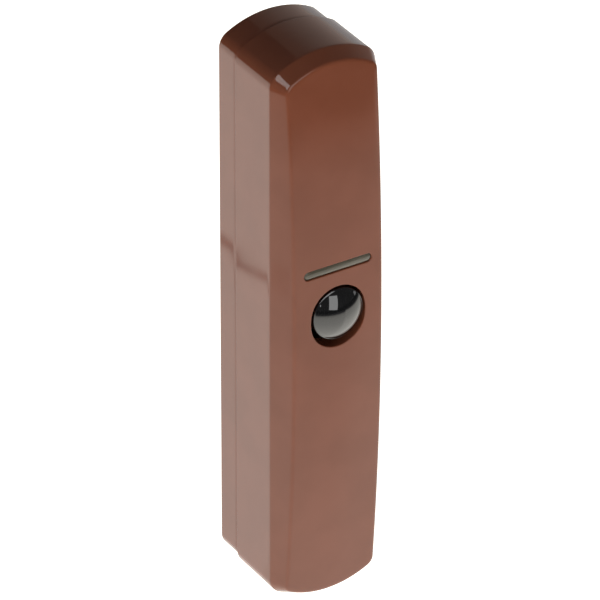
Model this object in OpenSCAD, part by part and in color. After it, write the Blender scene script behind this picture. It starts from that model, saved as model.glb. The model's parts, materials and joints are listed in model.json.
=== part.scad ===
// Wall-mounted opening and curtain detector in a slim arched housing.
// +Y points into the wall, -Y out of the front, +Z up along the housing.
// The origin is the middle of the flat back face, so depth d is the distance out from the wall.

/* [Housing] */
// Width of the housing
body_w = 24.7; // [23.7:0.1:32]
// Length of the housing along Z, over the arched ends
body_l = 128.8; // [127:0.1:160]
// Depth of the front face at the two ends
end_d = 23.45; // [23:0.05:30]
// How far the front bows out at mid length
front_bow = 3.25; // [1:0.05:5]
// How far each arched end rises above its corners
end_rise = 4.0; // [2.5:0.1:5]
// Radius of the four corners in the front view
corner_r = 4.1; // [3.8:0.1:5.5]

/* [Front cover] */
// Side and end wall of the cover
cover_wall = 1.8; // [1.4:0.1:2]
// Front wall of the cover
front_wall = 1.9; // [1.4:0.1:2.4]
// Depth at which the straight sides end and the bevel starts
side_d = 20.4; // [20:0.1:22]
// Width of the bevel round the front face
bevel_w = 1.85; // [0.8:0.05:2.2]
// Gap between the cover's rear edge and the base
seam_gap = 0.05; // [0.02:0.01:0.2]
// Swing clearance between the cover and what stands inside it
swing_gap = 0.3; // [0.25:0.05:0.4]

/* [Rear base] */
// Depth of the base, which is where the seam lies
base_d = 7.3; // [7:0.1:8]
// Step between the cover's side and the base's side
base_inset = 0.55; // [0.3:0.05:0.9]
// Floor of the base
floor_t = 2.0; // [1.6:0.1:2.4]
// Height of the lip that stands inside the cover
lip_h = 1.6; // [1:0.1:1.8]
// Thickness of the lip
lip_t = 0.95; // [0.8:0.05:1.2]
// Gap between the lip and the cover's wall
lip_gap = 0.2; // [0.15:0.05:0.3]

/* [Wall screws] */
// Width of each slotted wall hole
wall_slot_w = 3.6; // [3:0.1:4.2]
// Length of each slotted wall hole
wall_slot_l = 7.0; // [5:0.1:8]
// Height of the upper wall hole
upper_hole_z = 54; // [53:0.5:56]
// Height of the lower wall hole, under the battery
lower_hole_z = -38; // [-42:0.5:-34]

/* [Lens] */
// Height of the lens centre
lens_z = 6.0; // [4:0.1:6.5]
// Radius of the lens at the rim of its dome
lens_r = 5.8; // [5.3:0.05:5.9]
// Height of the dome above its rim
dome_h = 2.3; // [1.5:0.1:3]
// How far the dome's rim lies below the front face
lens_sink = 0.15; // [0:0.05:0.6]
// Wall of the lens
lens_t = 0.6; // [0.5:0.05:0.8]
// Gap round the lens in the cover's hole
lens_gap = 0.6; // [0.6:0.05:1]
// Extra length of the hole below the lens, which the swing of the cover needs
lens_hole_drop = 1.2; // [1:0.1:1.6]

/* [Light guide] */
// Height of the light guide's slot
guide_z = 16.8; // [16:0.1:19]
// Height of the slot
guide_h = 1.9; // [1.2:0.1:2]
// Length of the slot, over its round ends
guide_l = 15.9; // [12:0.1:16]
// How far the light guide's face lies below the front face
guide_sink = 0.3; // [0.1:0.05:0.6]

/* [Board] */
// Width of the circuit board
board_w = 18; // [17.4:0.1:18.2]
// Thickness of the circuit board
board_t = 1.2; // [0.8:0.1:1.6]
// Depth of the board's rear face
board_d = 9.0; // [8.9:0.1:9.6]
// Lower end of the board
board_low_z = -17; // [-17.4:0.1:-16.6]
// Upper end of the board
board_high_z = 48; // [47:0.5:49]

/* [Battery] */
// Diameter of the cell
cell_dia = 17; // [16.4:0.1:17]
// Length of the cell, over its positive cap
cell_l = 34.5; // [33.5:0.1:34.5]
// Upper end of the cell
cell_high_z = -20.7; // [-21:0.1:-20.6]

/* [Moving parts] */
// Travel of the tamper plunger
tamper_travel = 1.5; // [0.8:0.1:1.6]
// Travel of the learn button
learn_travel = 0.25; // [0.15:0.05:0.4]
// Travel of each mode slider
slider_travel = 1.6; // [1:0.1:1.8]
// Gap between the reed blades at rest
reed_gap = 0.2; // [0.1:0.05:0.25]
// Radial running gap of plungers and buttons
run_gap = 0.08; // [0.05:0.01:0.1]

/* [Hidden] */

$fn = 64;
eps = 0.01;
fit_gap = 0.05;         // play between pieces that are pressed or clipped together

// Housing outline
half_w = body_w / 2;
half_l = body_l / 2;
arch_r = (pow(half_w, 2) + pow(end_rise, 2)) / (2 * end_rise);
arch_z = half_l - arch_r;
corner_x = half_w - corner_r;
corner_z = arch_z + sqrt(pow(arch_r - corner_r, 2) - pow(corner_x, 2));
front_d = end_d + front_bow;
bow_r = (pow(half_l, 2) + pow(front_bow, 2)) / (2 * front_bow);
bow_fn = 720;
coil_steps = 16;
wire_sides = 8;
cover_d = base_d + seam_gap;
base_inner = cover_wall + lip_gap + lip_t;
lip_d = base_d + lip_h;

// Depth of the front face at height z
function face_d(z) = front_d - bow_r + sqrt(pow(bow_r, 2) - pow(z, 2));

// Board stack
board_front = board_d + board_t;
board_l = board_high_z - board_low_z;
board_mid_z = (board_high_z + board_low_z) / 2;

// Lens and sensor
lens_rim_d = face_d(lens_z) - lens_sink;
dome_r = (pow(lens_r, 2) + pow(dome_h, 2)) / (2 * dome_h);
skirt_l = 10.2;
skirt_end_d = lens_rim_d - skirt_l;
holder_top_d = lens_rim_d - 7.6;
holder_wall = 0.85;
holder_r = lens_r - lens_t - fit_gap;
pyro_flange_r = holder_r - 0.3;
pyro_flange_t = 0.45;
pyro_r = pyro_flange_r - 0.5;
pyro_h = 3.6;
pyro_window_w = 4.4;
pyro_window_t = 0.5;
pyro_lead_r = 0.23;
pyro_lead_circle = 2.5;
lead_tail = 0.9;        // how far soldered leads stand out behind the board

// Light guide
guide_face_d = face_d(guide_z) - guide_sink;
guide_flange_d = face_d(guide_z + guide_h) - front_wall - fit_gap;
guide_flange_t = 1.0;
guide_flange_rim = 0.6;
guide_fin_w = 9;
led_h = 0.7;
led_x = 2.6;
led_w = 1.6;
led_l = 0.9;

// Board screws and their posts
screw_r = 0.95;
pilot_gap = 0.05;
screw_head_r = 1.9;
screw_head_h = 1.3;
screw_l = 6;
post_r = 2.4;
post_x = [2.5, 0];
post_z = [board_high_z - 2.6, board_low_z + 3];

// Battery bay
cell_r = cell_dia / 2;
head_room = 1.6;        // space under the cell for the wall screw's head
cell_d = floor_t + head_room + cell_r;
cell_cap_h = 1.0;
cell_cap_r = 3.3;
cell_low_z = cell_high_z - cell_l;
cell_mid_z = (cell_high_z + cell_low_z) / 2;
sleeve_t = 0.12;
saddle_t = 1.2;
saddle_step = 21;
saddle_gap = 0.15;
bay_wall_t = 1.1;
contact_t = 0.4;
contact_w = 11;
spring_wire_r = 0.4;
spring_foot_r = 5;
cell_spring_l = 4.0;
cell_spring_turns = 3;
bay_high_z = cell_high_z + contact_t + fit_gap;
bay_low_z = cell_low_z - cell_spring_l - contact_t - fit_gap;

// Cover screw and the lug it holds
cover_screw_d = 11;
lug_w = 8;
lug_high_d = 14;
lug_t = 2.1;
notch_gap = 0.25;
cover_screw_l = 3.9;
counterbore_h = 1.0;
cover_head_h = counterbore_h - 2 * fit_gap;
lug_low_z = -(half_l - cover_wall - swing_gap);

// Locating tongues at the cover's upper end
tongue_x = 4.5;
tongue_w = 3.2;
tongue_t = 0.9;
tongue_d = 5;
tongue_web = 2.5;

// Tamper parts behind the board
tamper_x = -3.5;
tamper_z = 30;
tamper_r = 1.25;
tamper_flange_r = 2.6;
tamper_flange_t = 0.8;
tamper_switch_w = 6;
tamper_switch_h = 2.5;
tamper_key_r = 1.2;
tamper_key_h = 0.7;
tamper_spring_r = 2.1;
tamper_wire_r = 0.22;
tamper_turns = 4;
tamper_face_d = board_d - tamper_switch_h;

// Reed switch along the board's left edge
reed_x = -7.3;
reed_z = 30;
reed_d = board_front + 1.6;
reed_r = 1.1;
reed_bore = 0.75;
reed_l = 14;
reed_seal = 1.6;
reed_blade_w = 0.9;
reed_blade_t = 0.16;
reed_lap = 1.2;
reed_lead_r = 0.25;
reed_lead_out = 2.2;

// Learn and mode switches
learn_x = 4.6;
learn_z = -8;
learn_w = 4.6;
learn_h = 3.2;
learn_r = 1.2;
learn_proud = 0.9;
learn_depth = 1.2;
mode_x = -4.2;
mode_z = -8;
mode_w = 6.2;
mode_l = 5.4;
mode_h = 2.6;
slider_w = 1.1;
slider_h = 1.5;
slider_pitch = 2.54;
slider_gap = 0.1;

// Chips on the board's front
mcu_x = 1.5;
mcu_z = 24;
mcu_w = 7;
mcu_h = 1.2;
mcu_lead_count = 8;
mcu_lead_pitch = 0.8;
mcu_lead_w = 0.35;
mcu_lead_out = 1.0;
mcu_lead_t = 0.2;
mcu_lift = 0.1;
crystal_x = 4.8;
crystal_z = -1.5;
crystal_w = 2.5;
crystal_l = 3.2;
crystal_h = 0.7;
cap_x = -5.4;
cap_z = board_high_z - 4.4;
cap_r = 2.4;
cap_base_w = 5.4;
cap_base_h = 0.9;
cap_h = 4.6;
part_gap = 0.4;         // least gap between neighbours soldered on the board
radio_x = 0.6;
radio_w = 11;
radio_l = 11;
radio_z = cap_z - cap_base_w / 2 - part_gap - radio_l / 2;
radio_board_t = 0.8;
radio_shield_h = 2.0;
radio_rim = 1;
antenna_x = 8;
antenna_d = board_front + 3.2;
antenna_r = 0.4;
antenna_low_z = 14;
antenna_high_z = board_high_z - 2;
chip_w = 0.8;
chip_l = 1.6;
chip_h = 0.5;
chip_pitch = 2.2;

// A front-view outline carried outward from depth d
module slab(d, h) {
    translate([0, -d, 0]) rotate([90, 0, 0]) linear_extrude(h) children();
}

// A box centred on x and z that stands h outward from depth d
module block(x, z, w, l, d, h) {
    translate([x - w / 2, -d - h, z - l / 2]) cube([w, h, l]);
}

// A round rod that stands h outward from depth d
module rod(x, z, r, d, h) {
    translate([x, -d, z]) rotate([90, 0, 0]) cylinder(r = r, h = h);
}

// A round-ended slot through depth d to d + h; len runs along X, or along Z when upright
module slot(x, z, r, len, d, h, upright = false) {
    run = len / 2 - r;
    for (s = [-1, 1])
        rod(x + (upright ? 0 : s * run), z + (upright ? s * run : 0), r, d, h);
    block(x, z, upright ? 2 * r : 2 * run, upright ? 2 * run : 2 * r, d, h);
}

// Front view of the housing, moved in by inset: straight sides, arched ends, round corners
module outline(inset) {
    arch_in = arch_r - inset;
    tangent_x = corner_x * arch_in / (arch_r - corner_r);
    square([2 * (half_w - inset), 2 * corner_z], center = true);
    for (s = [-1, 1]) {
        intersection() {
            square([2 * tangent_x, body_l], center = true);
            translate([0, s * arch_z]) circle(arch_in, $fn = 128);
        }
        for (t = [-1, 1])
            translate([t * corner_x, s * corner_z]) circle(corner_r - inset);
    }
}

// The bowed front as a long-radius cylinder across X, moved in by t
module bow(t) {
    translate([0, bow_r - front_d, 0]) rotate([0, 90, 0])
        cylinder(r = bow_r - t, h = body_w, center = true, $fn = bow_fn);
}

// Outer form of the cover: straight sides, then the bevel up to the bowed front
module cover_form() {
    hull() {
        slab(cover_d, side_d - cover_d) outline(0);
        intersection() {
            slab(side_d, front_d - side_d) outline(bevel_w);
            bow(0);
        }
    }
}

// Space inside the cover
module cover_cavity() {
    slab(cover_d - eps, side_d - cover_d + eps) outline(cover_wall);
    intersection() {
        slab(cover_d, front_d - cover_d) outline(cover_wall + bevel_w);
        bow(front_wall);
    }
}

module front_cover() {
    lens_hole_r = lens_r + lens_gap;
    hole_l = 2 * lens_hole_r + lens_hole_drop;
    head_w = 2 * (screw_head_r + notch_gap);
    color("sienna") difference() {
        union() {
            difference() {
                cover_form();
                cover_cavity();
            }
            intersection() {
                for (s = [-1, 1]) {
                    web_z = half_l - base_inner - tongue_web / 2;
                    block(s * tongue_x, web_z, tongue_w, base_inner + tongue_web,
                          lip_d + swing_gap, tongue_web);
                    block(s * tongue_x, half_l - base_inner - tongue_web, tongue_w, tongue_t,
                          tongue_d, lip_d - tongue_d + tongue_web);
                }
                slab(tongue_d, side_d) outline(cover_wall / 2);
            }
        }
        slot(0, lens_z - lens_hole_drop / 2, lens_hole_r, hole_l, side_d, front_d, true);
        slot(0, guide_z, guide_h / 2, guide_l, side_d, front_d);
        // Notch for the cover screw, open at the rear edge so the loosened screw lets go
        translate([0, -cover_screw_d, -half_l - eps]) {
            cylinder(r = screw_r + notch_gap, h = lug_t + cover_wall);
            cylinder(r = head_w / 2, h = counterbore_h + eps);
        }
        translate([-screw_r - notch_gap, -cover_screw_d, -half_l - eps])
            cube([2 * (screw_r + notch_gap), cover_screw_d, cover_wall + 2 * eps]);
        translate([-head_w / 2, -cover_screw_d, -half_l - eps])
            cube([head_w, cover_screw_d, counterbore_h + eps]);
    }
}

// Post on the base's floor that carries the board
module board_post(x, z) {
    difference() {
        rod(x, z, post_r, floor_t - eps, board_d - floor_t + eps);
        rod(x, z, screw_r + pilot_gap, board_d - screw_l, screw_l + eps);
    }
}

// Rib across the base with a round seat for the cell
module saddle(z) {
    intersection() {
        difference() {
            block(0, z, body_w, saddle_t, floor_t - eps, lip_d - floor_t);
            translate([0, -cell_d, z - saddle_t])
                cylinder(r = cell_r + sleeve_t + saddle_gap, h = 2 * saddle_t);
        }
        slab(0, base_d) outline(base_inset + eps);
    }
}

module rear_base() {
    color("saddlebrown") {
        difference() {
            union() {
                slab(0, base_d) outline(base_inset);
                slab(floor_t, lip_d - floor_t) outline(cover_wall + lip_gap);
            }
            slab(floor_t, lip_d) outline(base_inner);
            slot(0, upper_hole_z, wall_slot_w / 2, wall_slot_l, -eps, floor_t + 2 * eps, true);
            slot(0, lower_hole_z, wall_slot_w / 2, wall_slot_l, -eps, floor_t + 2 * eps, true);
            rod(tamper_x, tamper_z, tamper_r + run_gap, -eps, floor_t + 2 * eps);
        }
        for (i = [0, 1])
            board_post(post_x[i], post_z[i]);
        for (s = [-1, 1])
            saddle(cell_mid_z + s * saddle_step / 2);
        // Upper end wall of the battery bay
        block(0, bay_high_z + bay_wall_t / 2, contact_w, bay_wall_t,
              floor_t - eps, cell_d - floor_t);
        // Lower end wall, and the lug behind it for the cover screw
        difference() {
            union() {
                block(0, bay_low_z - bay_wall_t / 2, contact_w, bay_wall_t,
                      floor_t - eps, cell_d - floor_t);
                intersection() {
                    block(0, lug_low_z + lug_t / 2, lug_w, lug_t,
                          floor_t - eps, lug_high_d - floor_t);
                    slab(0, lug_high_d) outline(cover_wall + swing_gap);
                }
            }
            translate([0, -cover_screw_d, lug_low_z - eps])
                cylinder(r = screw_r + pilot_gap, h = lug_t + 2 * eps);
        }
    }
}

module light_guide() {
    flange_w = guide_l + 2 * guide_flange_rim;
    fin_d = board_front + led_h + fit_gap;
    color("gray") {
        slot(0, guide_z, guide_h / 2 - fit_gap, guide_l - 2 * fit_gap,
             guide_flange_d - eps, guide_face_d - guide_flange_d + eps);
        block(0, guide_z, flange_w, guide_h + 2 * guide_flange_rim,
              guide_flange_d - guide_flange_t, guide_flange_t);
        block(0, guide_z, guide_fin_w, guide_h, fin_d,
              guide_flange_d - guide_flange_t - fin_d + eps);
    }
}

// Round bar from the skirt's end up to rim_d, closed by a cap of a ball round the dome's centre
module lens_form(r, ball_r, rim_d) {
    rod(0, lens_z, r, skirt_end_d, rim_d - skirt_end_d);
    intersection() {
        translate([0, dome_r - dome_h - lens_rim_d, lens_z]) rotate([90, 0, 0]) sphere(ball_r);
        rod(0, lens_z, r, rim_d - dome_h, 3 * dome_h);
    }
}

module pir_lens() {
    inner_r = lens_r - lens_t;
    inner_ball_r = dome_r - lens_t;
    inner_rim_d = lens_rim_d + dome_h - dome_r + sqrt(pow(inner_ball_r, 2) - pow(inner_r, 2));
    color("black") difference() {
        lens_form(lens_r, dome_r, lens_rim_d);
        lens_form(inner_r, inner_ball_r, inner_rim_d);
        rod(0, lens_z, inner_r, skirt_end_d - eps, 2 * eps);
    }
}

module sensor_holder() {
    color("dimgray") difference() {
        union() {
            rod(0, lens_z, lens_r, board_front, skirt_end_d - board_front);
            rod(0, lens_z, holder_r, board_front, holder_top_d - board_front);
        }
        rod(0, lens_z, holder_r - holder_wall, board_front - eps, holder_top_d);
    }
}

module pyro_can() {
    color("silver") difference() {
        union() {
            rod(0, lens_z, pyro_flange_r, holder_top_d, pyro_flange_t);
            rod(0, lens_z, pyro_r, holder_top_d, pyro_h);
        }
        block(0, lens_z, pyro_window_w, pyro_window_w,
              holder_top_d + pyro_h - pyro_window_t, pyro_window_t + eps);
    }
}

module pyro_window() {
    color("midnightblue")
        block(0, lens_z, pyro_window_w, pyro_window_w,
              holder_top_d + pyro_h - pyro_window_t, pyro_window_t);
}

module pyro_leads() {
    color("gold")
        for (a = [0, 90, 180])
            rod(pyro_lead_circle * cos(a), lens_z + pyro_lead_circle * sin(a), pyro_lead_r,
                board_d - lead_tail, holder_top_d - board_d + lead_tail);
}

module main_board() {
    color("darkgreen") difference() {
        block(0, board_mid_z, board_w, board_l, board_d, board_t);
        for (i = [0, 1])
            rod(post_x[i], post_z[i], screw_r + 2 * run_gap, board_d - eps, board_t + 2 * eps);
        for (a = [0, 90, 180])
            rod(pyro_lead_circle * cos(a), lens_z + pyro_lead_circle * sin(a),
                pyro_lead_r + run_gap, board_d - eps, board_t + 2 * eps);
        for (s = [-1, 1])
            rod(reed_x, reed_z + s * (reed_l / 2 + reed_lead_out), reed_lead_r + run_gap,
                board_d - eps, board_t + 2 * eps);
        rod(antenna_x, antenna_low_z, antenna_r + run_gap, board_d - eps, board_t + 2 * eps);
    }
}

module indicator_leds() {
    color("lightyellow")
        for (s = [-1, 1])
            block(s * led_x, guide_z, led_w, led_l, board_front, led_h);
}

module microcontroller() {
    color("black")
        block(mcu_x, mcu_z, mcu_w, mcu_w, board_front + mcu_lift, mcu_h);
}

module microcontroller_leads() {
    color("silver")
        for (side = [0 : 3], i = [0 : mcu_lead_count - 1])
            translate([mcu_x, 0, mcu_z]) rotate([0, 90 * side, 0])
                block((i - (mcu_lead_count - 1) / 2) * mcu_lead_pitch,
                      (mcu_w + mcu_lead_out) / 2, mcu_lead_w, mcu_lead_out,
                      board_front, mcu_lift + mcu_lead_t);
}

module crystal() {
    color("silver")
        block(crystal_x, crystal_z, crystal_w, crystal_l, board_front, crystal_h);
}

module radio_board() {
    color("seagreen")
        block(radio_x, radio_z, radio_w, radio_l, board_front, radio_board_t);
}

module radio_shield() {
    color("lightgray")
        block(radio_x, radio_z, radio_w - 2 * radio_rim, radio_l - 2 * radio_rim,
              board_front + radio_board_t, radio_shield_h);
}

module antenna_wire() {
    color("goldenrod") {
        rod(antenna_x, antenna_low_z, antenna_r, board_d - lead_tail,
            antenna_d - board_d + lead_tail);
        translate([antenna_x, -antenna_d, antenna_low_z]) sphere(antenna_r);
        translate([antenna_x, -antenna_d, antenna_low_z])
            cylinder(r = antenna_r, h = antenna_high_z - antenna_low_z);
    }
}

module reed_glass() {
    color("palegreen", 0.5) translate([reed_x, -reed_d, reed_z]) difference() {
        cylinder(r = reed_r, h = reed_l, center = true);
        cylinder(r = reed_bore, h = reed_l - 2 * reed_seal, center = true);
        // Lead passages through the two glass seals
        cylinder(r = reed_lead_r, h = reed_l + eps, center = true);
    }
}

// Flat blade from the seal to just past the middle, on the s side of the gap
module blade(s) {
    reach = reed_l / 2 - reed_seal + reed_lap / 2;
    translate([reed_x - reed_blade_w / 2,
               -reed_d + s * reed_gap / 2 + (s < 0 ? -reed_blade_t : 0),
               reed_z + (s < 0 ? -reed_lap / 2 : reed_lap / 2 - reach)])
        cube([reed_blade_w, reed_blade_t, reach]);
}

module reed_leads() {
    color("silver") {
        for (s = [-1, 1]) {
            foot_z = reed_z + s * (reed_l / 2 + reed_lead_out);
            rod(reed_x, foot_z, reed_lead_r, board_d - lead_tail,
                reed_d - board_d + lead_tail);
            translate([reed_x, -reed_d, foot_z]) sphere(reed_lead_r);
            translate([reed_x, -reed_d, s < 0 ? foot_z : reed_z + reed_l / 2 - reed_seal])
                cylinder(r = reed_lead_r, h = reed_seal + reed_lead_out);
        }
        blade(1);
    }
}

module reed_blade() {
    color("silver") blade(-1);
}

module capacitor_base() {
    color("black")
        block(cap_x, cap_z, cap_base_w, cap_base_w, board_front, cap_base_h);
}

module reservoir_capacitor() {
    color("silver")
        rod(cap_x, cap_z, cap_r, board_front + cap_base_h, cap_h);
}

module learn_switch() {
    color("dimgray") difference() {
        block(learn_x, learn_z, learn_w, learn_w, board_front, learn_h);
        rod(learn_x, learn_z, learn_r + run_gap,
            board_front + learn_h - learn_depth - learn_travel - fit_gap, learn_h);
    }
}

module learn_button() {
    color("white")
        rod(learn_x, learn_z, learn_r, board_front + learn_h - learn_depth,
            learn_depth + learn_proud);
}

module mode_switch() {
    color("firebrick") difference() {
        block(mode_x, mode_z, mode_w, mode_l, board_front, mode_h);
        for (s = [-1, 1])
            block(mode_x, mode_z + s * slider_pitch / 2,
                  slider_travel + slider_w + 2 * slider_gap, slider_w + 2 * slider_gap,
                  board_front + mode_h - slider_h + slider_gap, slider_h);
    }
}

// A slider at the left end of its slot, which is the off position
module mode_slider(s) {
    color("white")
        block(mode_x - slider_travel / 2, mode_z + s * slider_pitch / 2,
              slider_w, slider_w, board_front + mode_h - slider_h + 2 * slider_gap, slider_h);
}

module mode_slider_1() { mode_slider(1); }

module mode_slider_2() { mode_slider(-1); }

module tamper_switch() {
    color("dimgray") {
        block(tamper_x, tamper_z, tamper_switch_w, tamper_switch_w,
              tamper_face_d, tamper_switch_h);
        rod(tamper_x, tamper_z, tamper_key_r, tamper_face_d - tamper_key_h,
            tamper_key_h + eps);
    }
}

module tamper_plunger() {
    nose_end = tamper_face_d - tamper_key_h - tamper_travel - fit_gap;
    color("white") {
        rod(tamper_x, tamper_z, tamper_r, -tamper_travel, nose_end + tamper_travel);
        rod(tamper_x, tamper_z, tamper_flange_r, floor_t + fit_gap, tamper_flange_t);
    }
}

// Open helix of round wire about Z, whose radius goes from r_low to r_high over its rise
module coil(r_low, r_high, rise, turns, wire) {
    n = turns * coil_steps;
    points = [for (i = [0 : n], k = [0 : wire_sides - 1])
        let (a = 360 * i / coil_steps, b = 360 * k / wire_sides,
             r = r_low + (r_high - r_low) * i / n + wire * cos(b))
        [r * cos(a), r * sin(a), rise * i / n + wire * sin(b)]];
    sides = [for (i = [0 : n - 1], k = [0 : wire_sides - 1])
        let (next = (k + 1) % wire_sides)
        [i * wire_sides + k, i * wire_sides + next,
         (i + 1) * wire_sides + next, (i + 1) * wire_sides + k]];
    low_end = [for (k = [wire_sides - 1 : -1 : 0]) k];
    high_end = [for (k = [0 : wire_sides - 1]) n * wire_sides + k];
    polyhedron(points, concat([low_end], sides, [high_end]));
}

module tamper_spring() {
    low_d = floor_t + fit_gap + tamper_flange_t;
    color("silver")
        translate([tamper_x, -low_d - tamper_wire_r, tamper_z]) rotate([90, 0, 0])
            coil(tamper_spring_r, tamper_spring_r, tamper_face_d - low_d - 2 * tamper_wire_r,
                 tamper_turns, tamper_wire_r);
}

module board_screws() {
    color("silver")
        for (i = [0, 1]) {
            rod(post_x[i], post_z[i], screw_head_r, board_front, screw_head_h);
            rod(post_x[i], post_z[i], screw_r, board_front - screw_l + board_t,
                screw_l - board_t + eps);
        }
}

module cover_screw() {
    head_z = -half_l + counterbore_h - fit_gap;
    color("silver") {
        translate([0, -cover_screw_d, head_z - cover_head_h])
            cylinder(r = screw_head_r, h = cover_head_h);
        translate([0, -cover_screw_d, head_z - eps])
            cylinder(r = screw_r, h = cover_screw_l - counterbore_h);
    }
}

module battery_cell() {
    color("silver")
        translate([0, -cell_d, cell_low_z])
            cylinder(r = cell_r, h = cell_l - cell_cap_h);
}

module battery_sleeve() {
    color("darkslategray")
        translate([0, -cell_d, cell_low_z + cell_cap_h])
            difference() {
                cylinder(r = cell_r + sleeve_t, h = cell_l - 3 * cell_cap_h);
                translate([0, 0, -eps]) cylinder(r = cell_r, h = cell_l);
            }
}

module battery_cap() {
    color("lightgray")
        translate([0, -cell_d, cell_high_z - cell_cap_h])
            cylinder(r = cell_cap_r, h = cell_cap_h);
}

module positive_contact() {
    color("gold")
        block(0, cell_high_z + contact_t / 2 + fit_gap / 2, contact_w, contact_t,
              floor_t, cell_d + cell_cap_r - floor_t);
}

module negative_spring() {
    color("silver")
        translate([0, -cell_d, cell_low_z - cell_spring_l + spring_wire_r])
            coil(spring_foot_r, cell_cap_r, cell_spring_l - 2 * spring_wire_r,
                 cell_spring_turns, spring_wire_r);
}

module negative_contact() {
    color("gold")
        block(0, cell_low_z - cell_spring_l - contact_t / 2, contact_w, contact_t,
              floor_t, cell_d + cell_cap_r - floor_t);
}

module chip_capacitors() {
    color("tan")
        for (i = [0 : 2], s = [-1, 1])
            block(s * 7.2, lens_z - 4 + i * chip_pitch * 1.5, chip_w, chip_l, board_front, chip_h);
}

module chip_resistors() {
    color("black")
        for (i = [0 : 3])
            block(-4.6, mcu_z - 4 + i * chip_pitch, chip_l, chip_w, board_front, chip_h);
}

front_cover();
rear_base();
light_guide();
pir_lens();
sensor_holder();
pyro_can();
pyro_window();
pyro_leads();
main_board();
indicator_leds();
microcontroller();
microcontroller_leads();
crystal();
radio_board();
radio_shield();
antenna_wire();
reed_glass();
reed_leads();
reed_blade();
reservoir_capacitor();
capacitor_base();
learn_switch();
learn_button();
mode_switch();
mode_slider_1();
mode_slider_2();
tamper_switch();
tamper_plunger();
tamper_spring();
board_screws();
cover_screw();
battery_cell();
battery_sleeve();
battery_cap();
positive_contact();
negative_spring();
negative_contact();
chip_capacitors();
chip_resistors();
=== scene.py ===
"""Looks of the wall-mounted opening and curtain detector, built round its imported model."""
import json
import math
import bmesh
import bpy
import numpy as np
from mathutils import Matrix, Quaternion, Vector


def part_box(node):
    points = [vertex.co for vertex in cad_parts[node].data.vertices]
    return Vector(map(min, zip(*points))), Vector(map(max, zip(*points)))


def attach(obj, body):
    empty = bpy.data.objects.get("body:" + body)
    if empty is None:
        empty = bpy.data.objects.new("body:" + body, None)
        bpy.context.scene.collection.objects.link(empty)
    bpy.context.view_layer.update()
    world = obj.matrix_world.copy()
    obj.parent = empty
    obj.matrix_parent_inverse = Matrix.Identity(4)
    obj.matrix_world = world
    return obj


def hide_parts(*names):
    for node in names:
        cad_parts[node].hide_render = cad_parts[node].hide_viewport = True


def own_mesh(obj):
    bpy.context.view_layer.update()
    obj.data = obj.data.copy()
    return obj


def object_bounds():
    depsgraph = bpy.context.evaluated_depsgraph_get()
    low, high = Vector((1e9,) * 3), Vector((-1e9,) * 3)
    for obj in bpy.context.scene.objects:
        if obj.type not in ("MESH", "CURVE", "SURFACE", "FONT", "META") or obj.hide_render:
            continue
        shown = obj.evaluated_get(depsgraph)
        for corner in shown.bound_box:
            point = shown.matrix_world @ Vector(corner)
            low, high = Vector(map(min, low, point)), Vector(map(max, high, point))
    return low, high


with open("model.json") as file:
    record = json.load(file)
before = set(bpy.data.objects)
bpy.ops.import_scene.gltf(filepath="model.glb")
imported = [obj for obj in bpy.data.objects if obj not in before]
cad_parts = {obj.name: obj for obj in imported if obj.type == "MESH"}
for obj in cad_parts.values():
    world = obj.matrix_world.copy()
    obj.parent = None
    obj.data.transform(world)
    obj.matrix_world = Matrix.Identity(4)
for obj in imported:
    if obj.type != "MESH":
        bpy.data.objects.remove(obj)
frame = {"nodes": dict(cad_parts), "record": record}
cad_low, cad_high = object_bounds()
MM = 0.001


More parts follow.
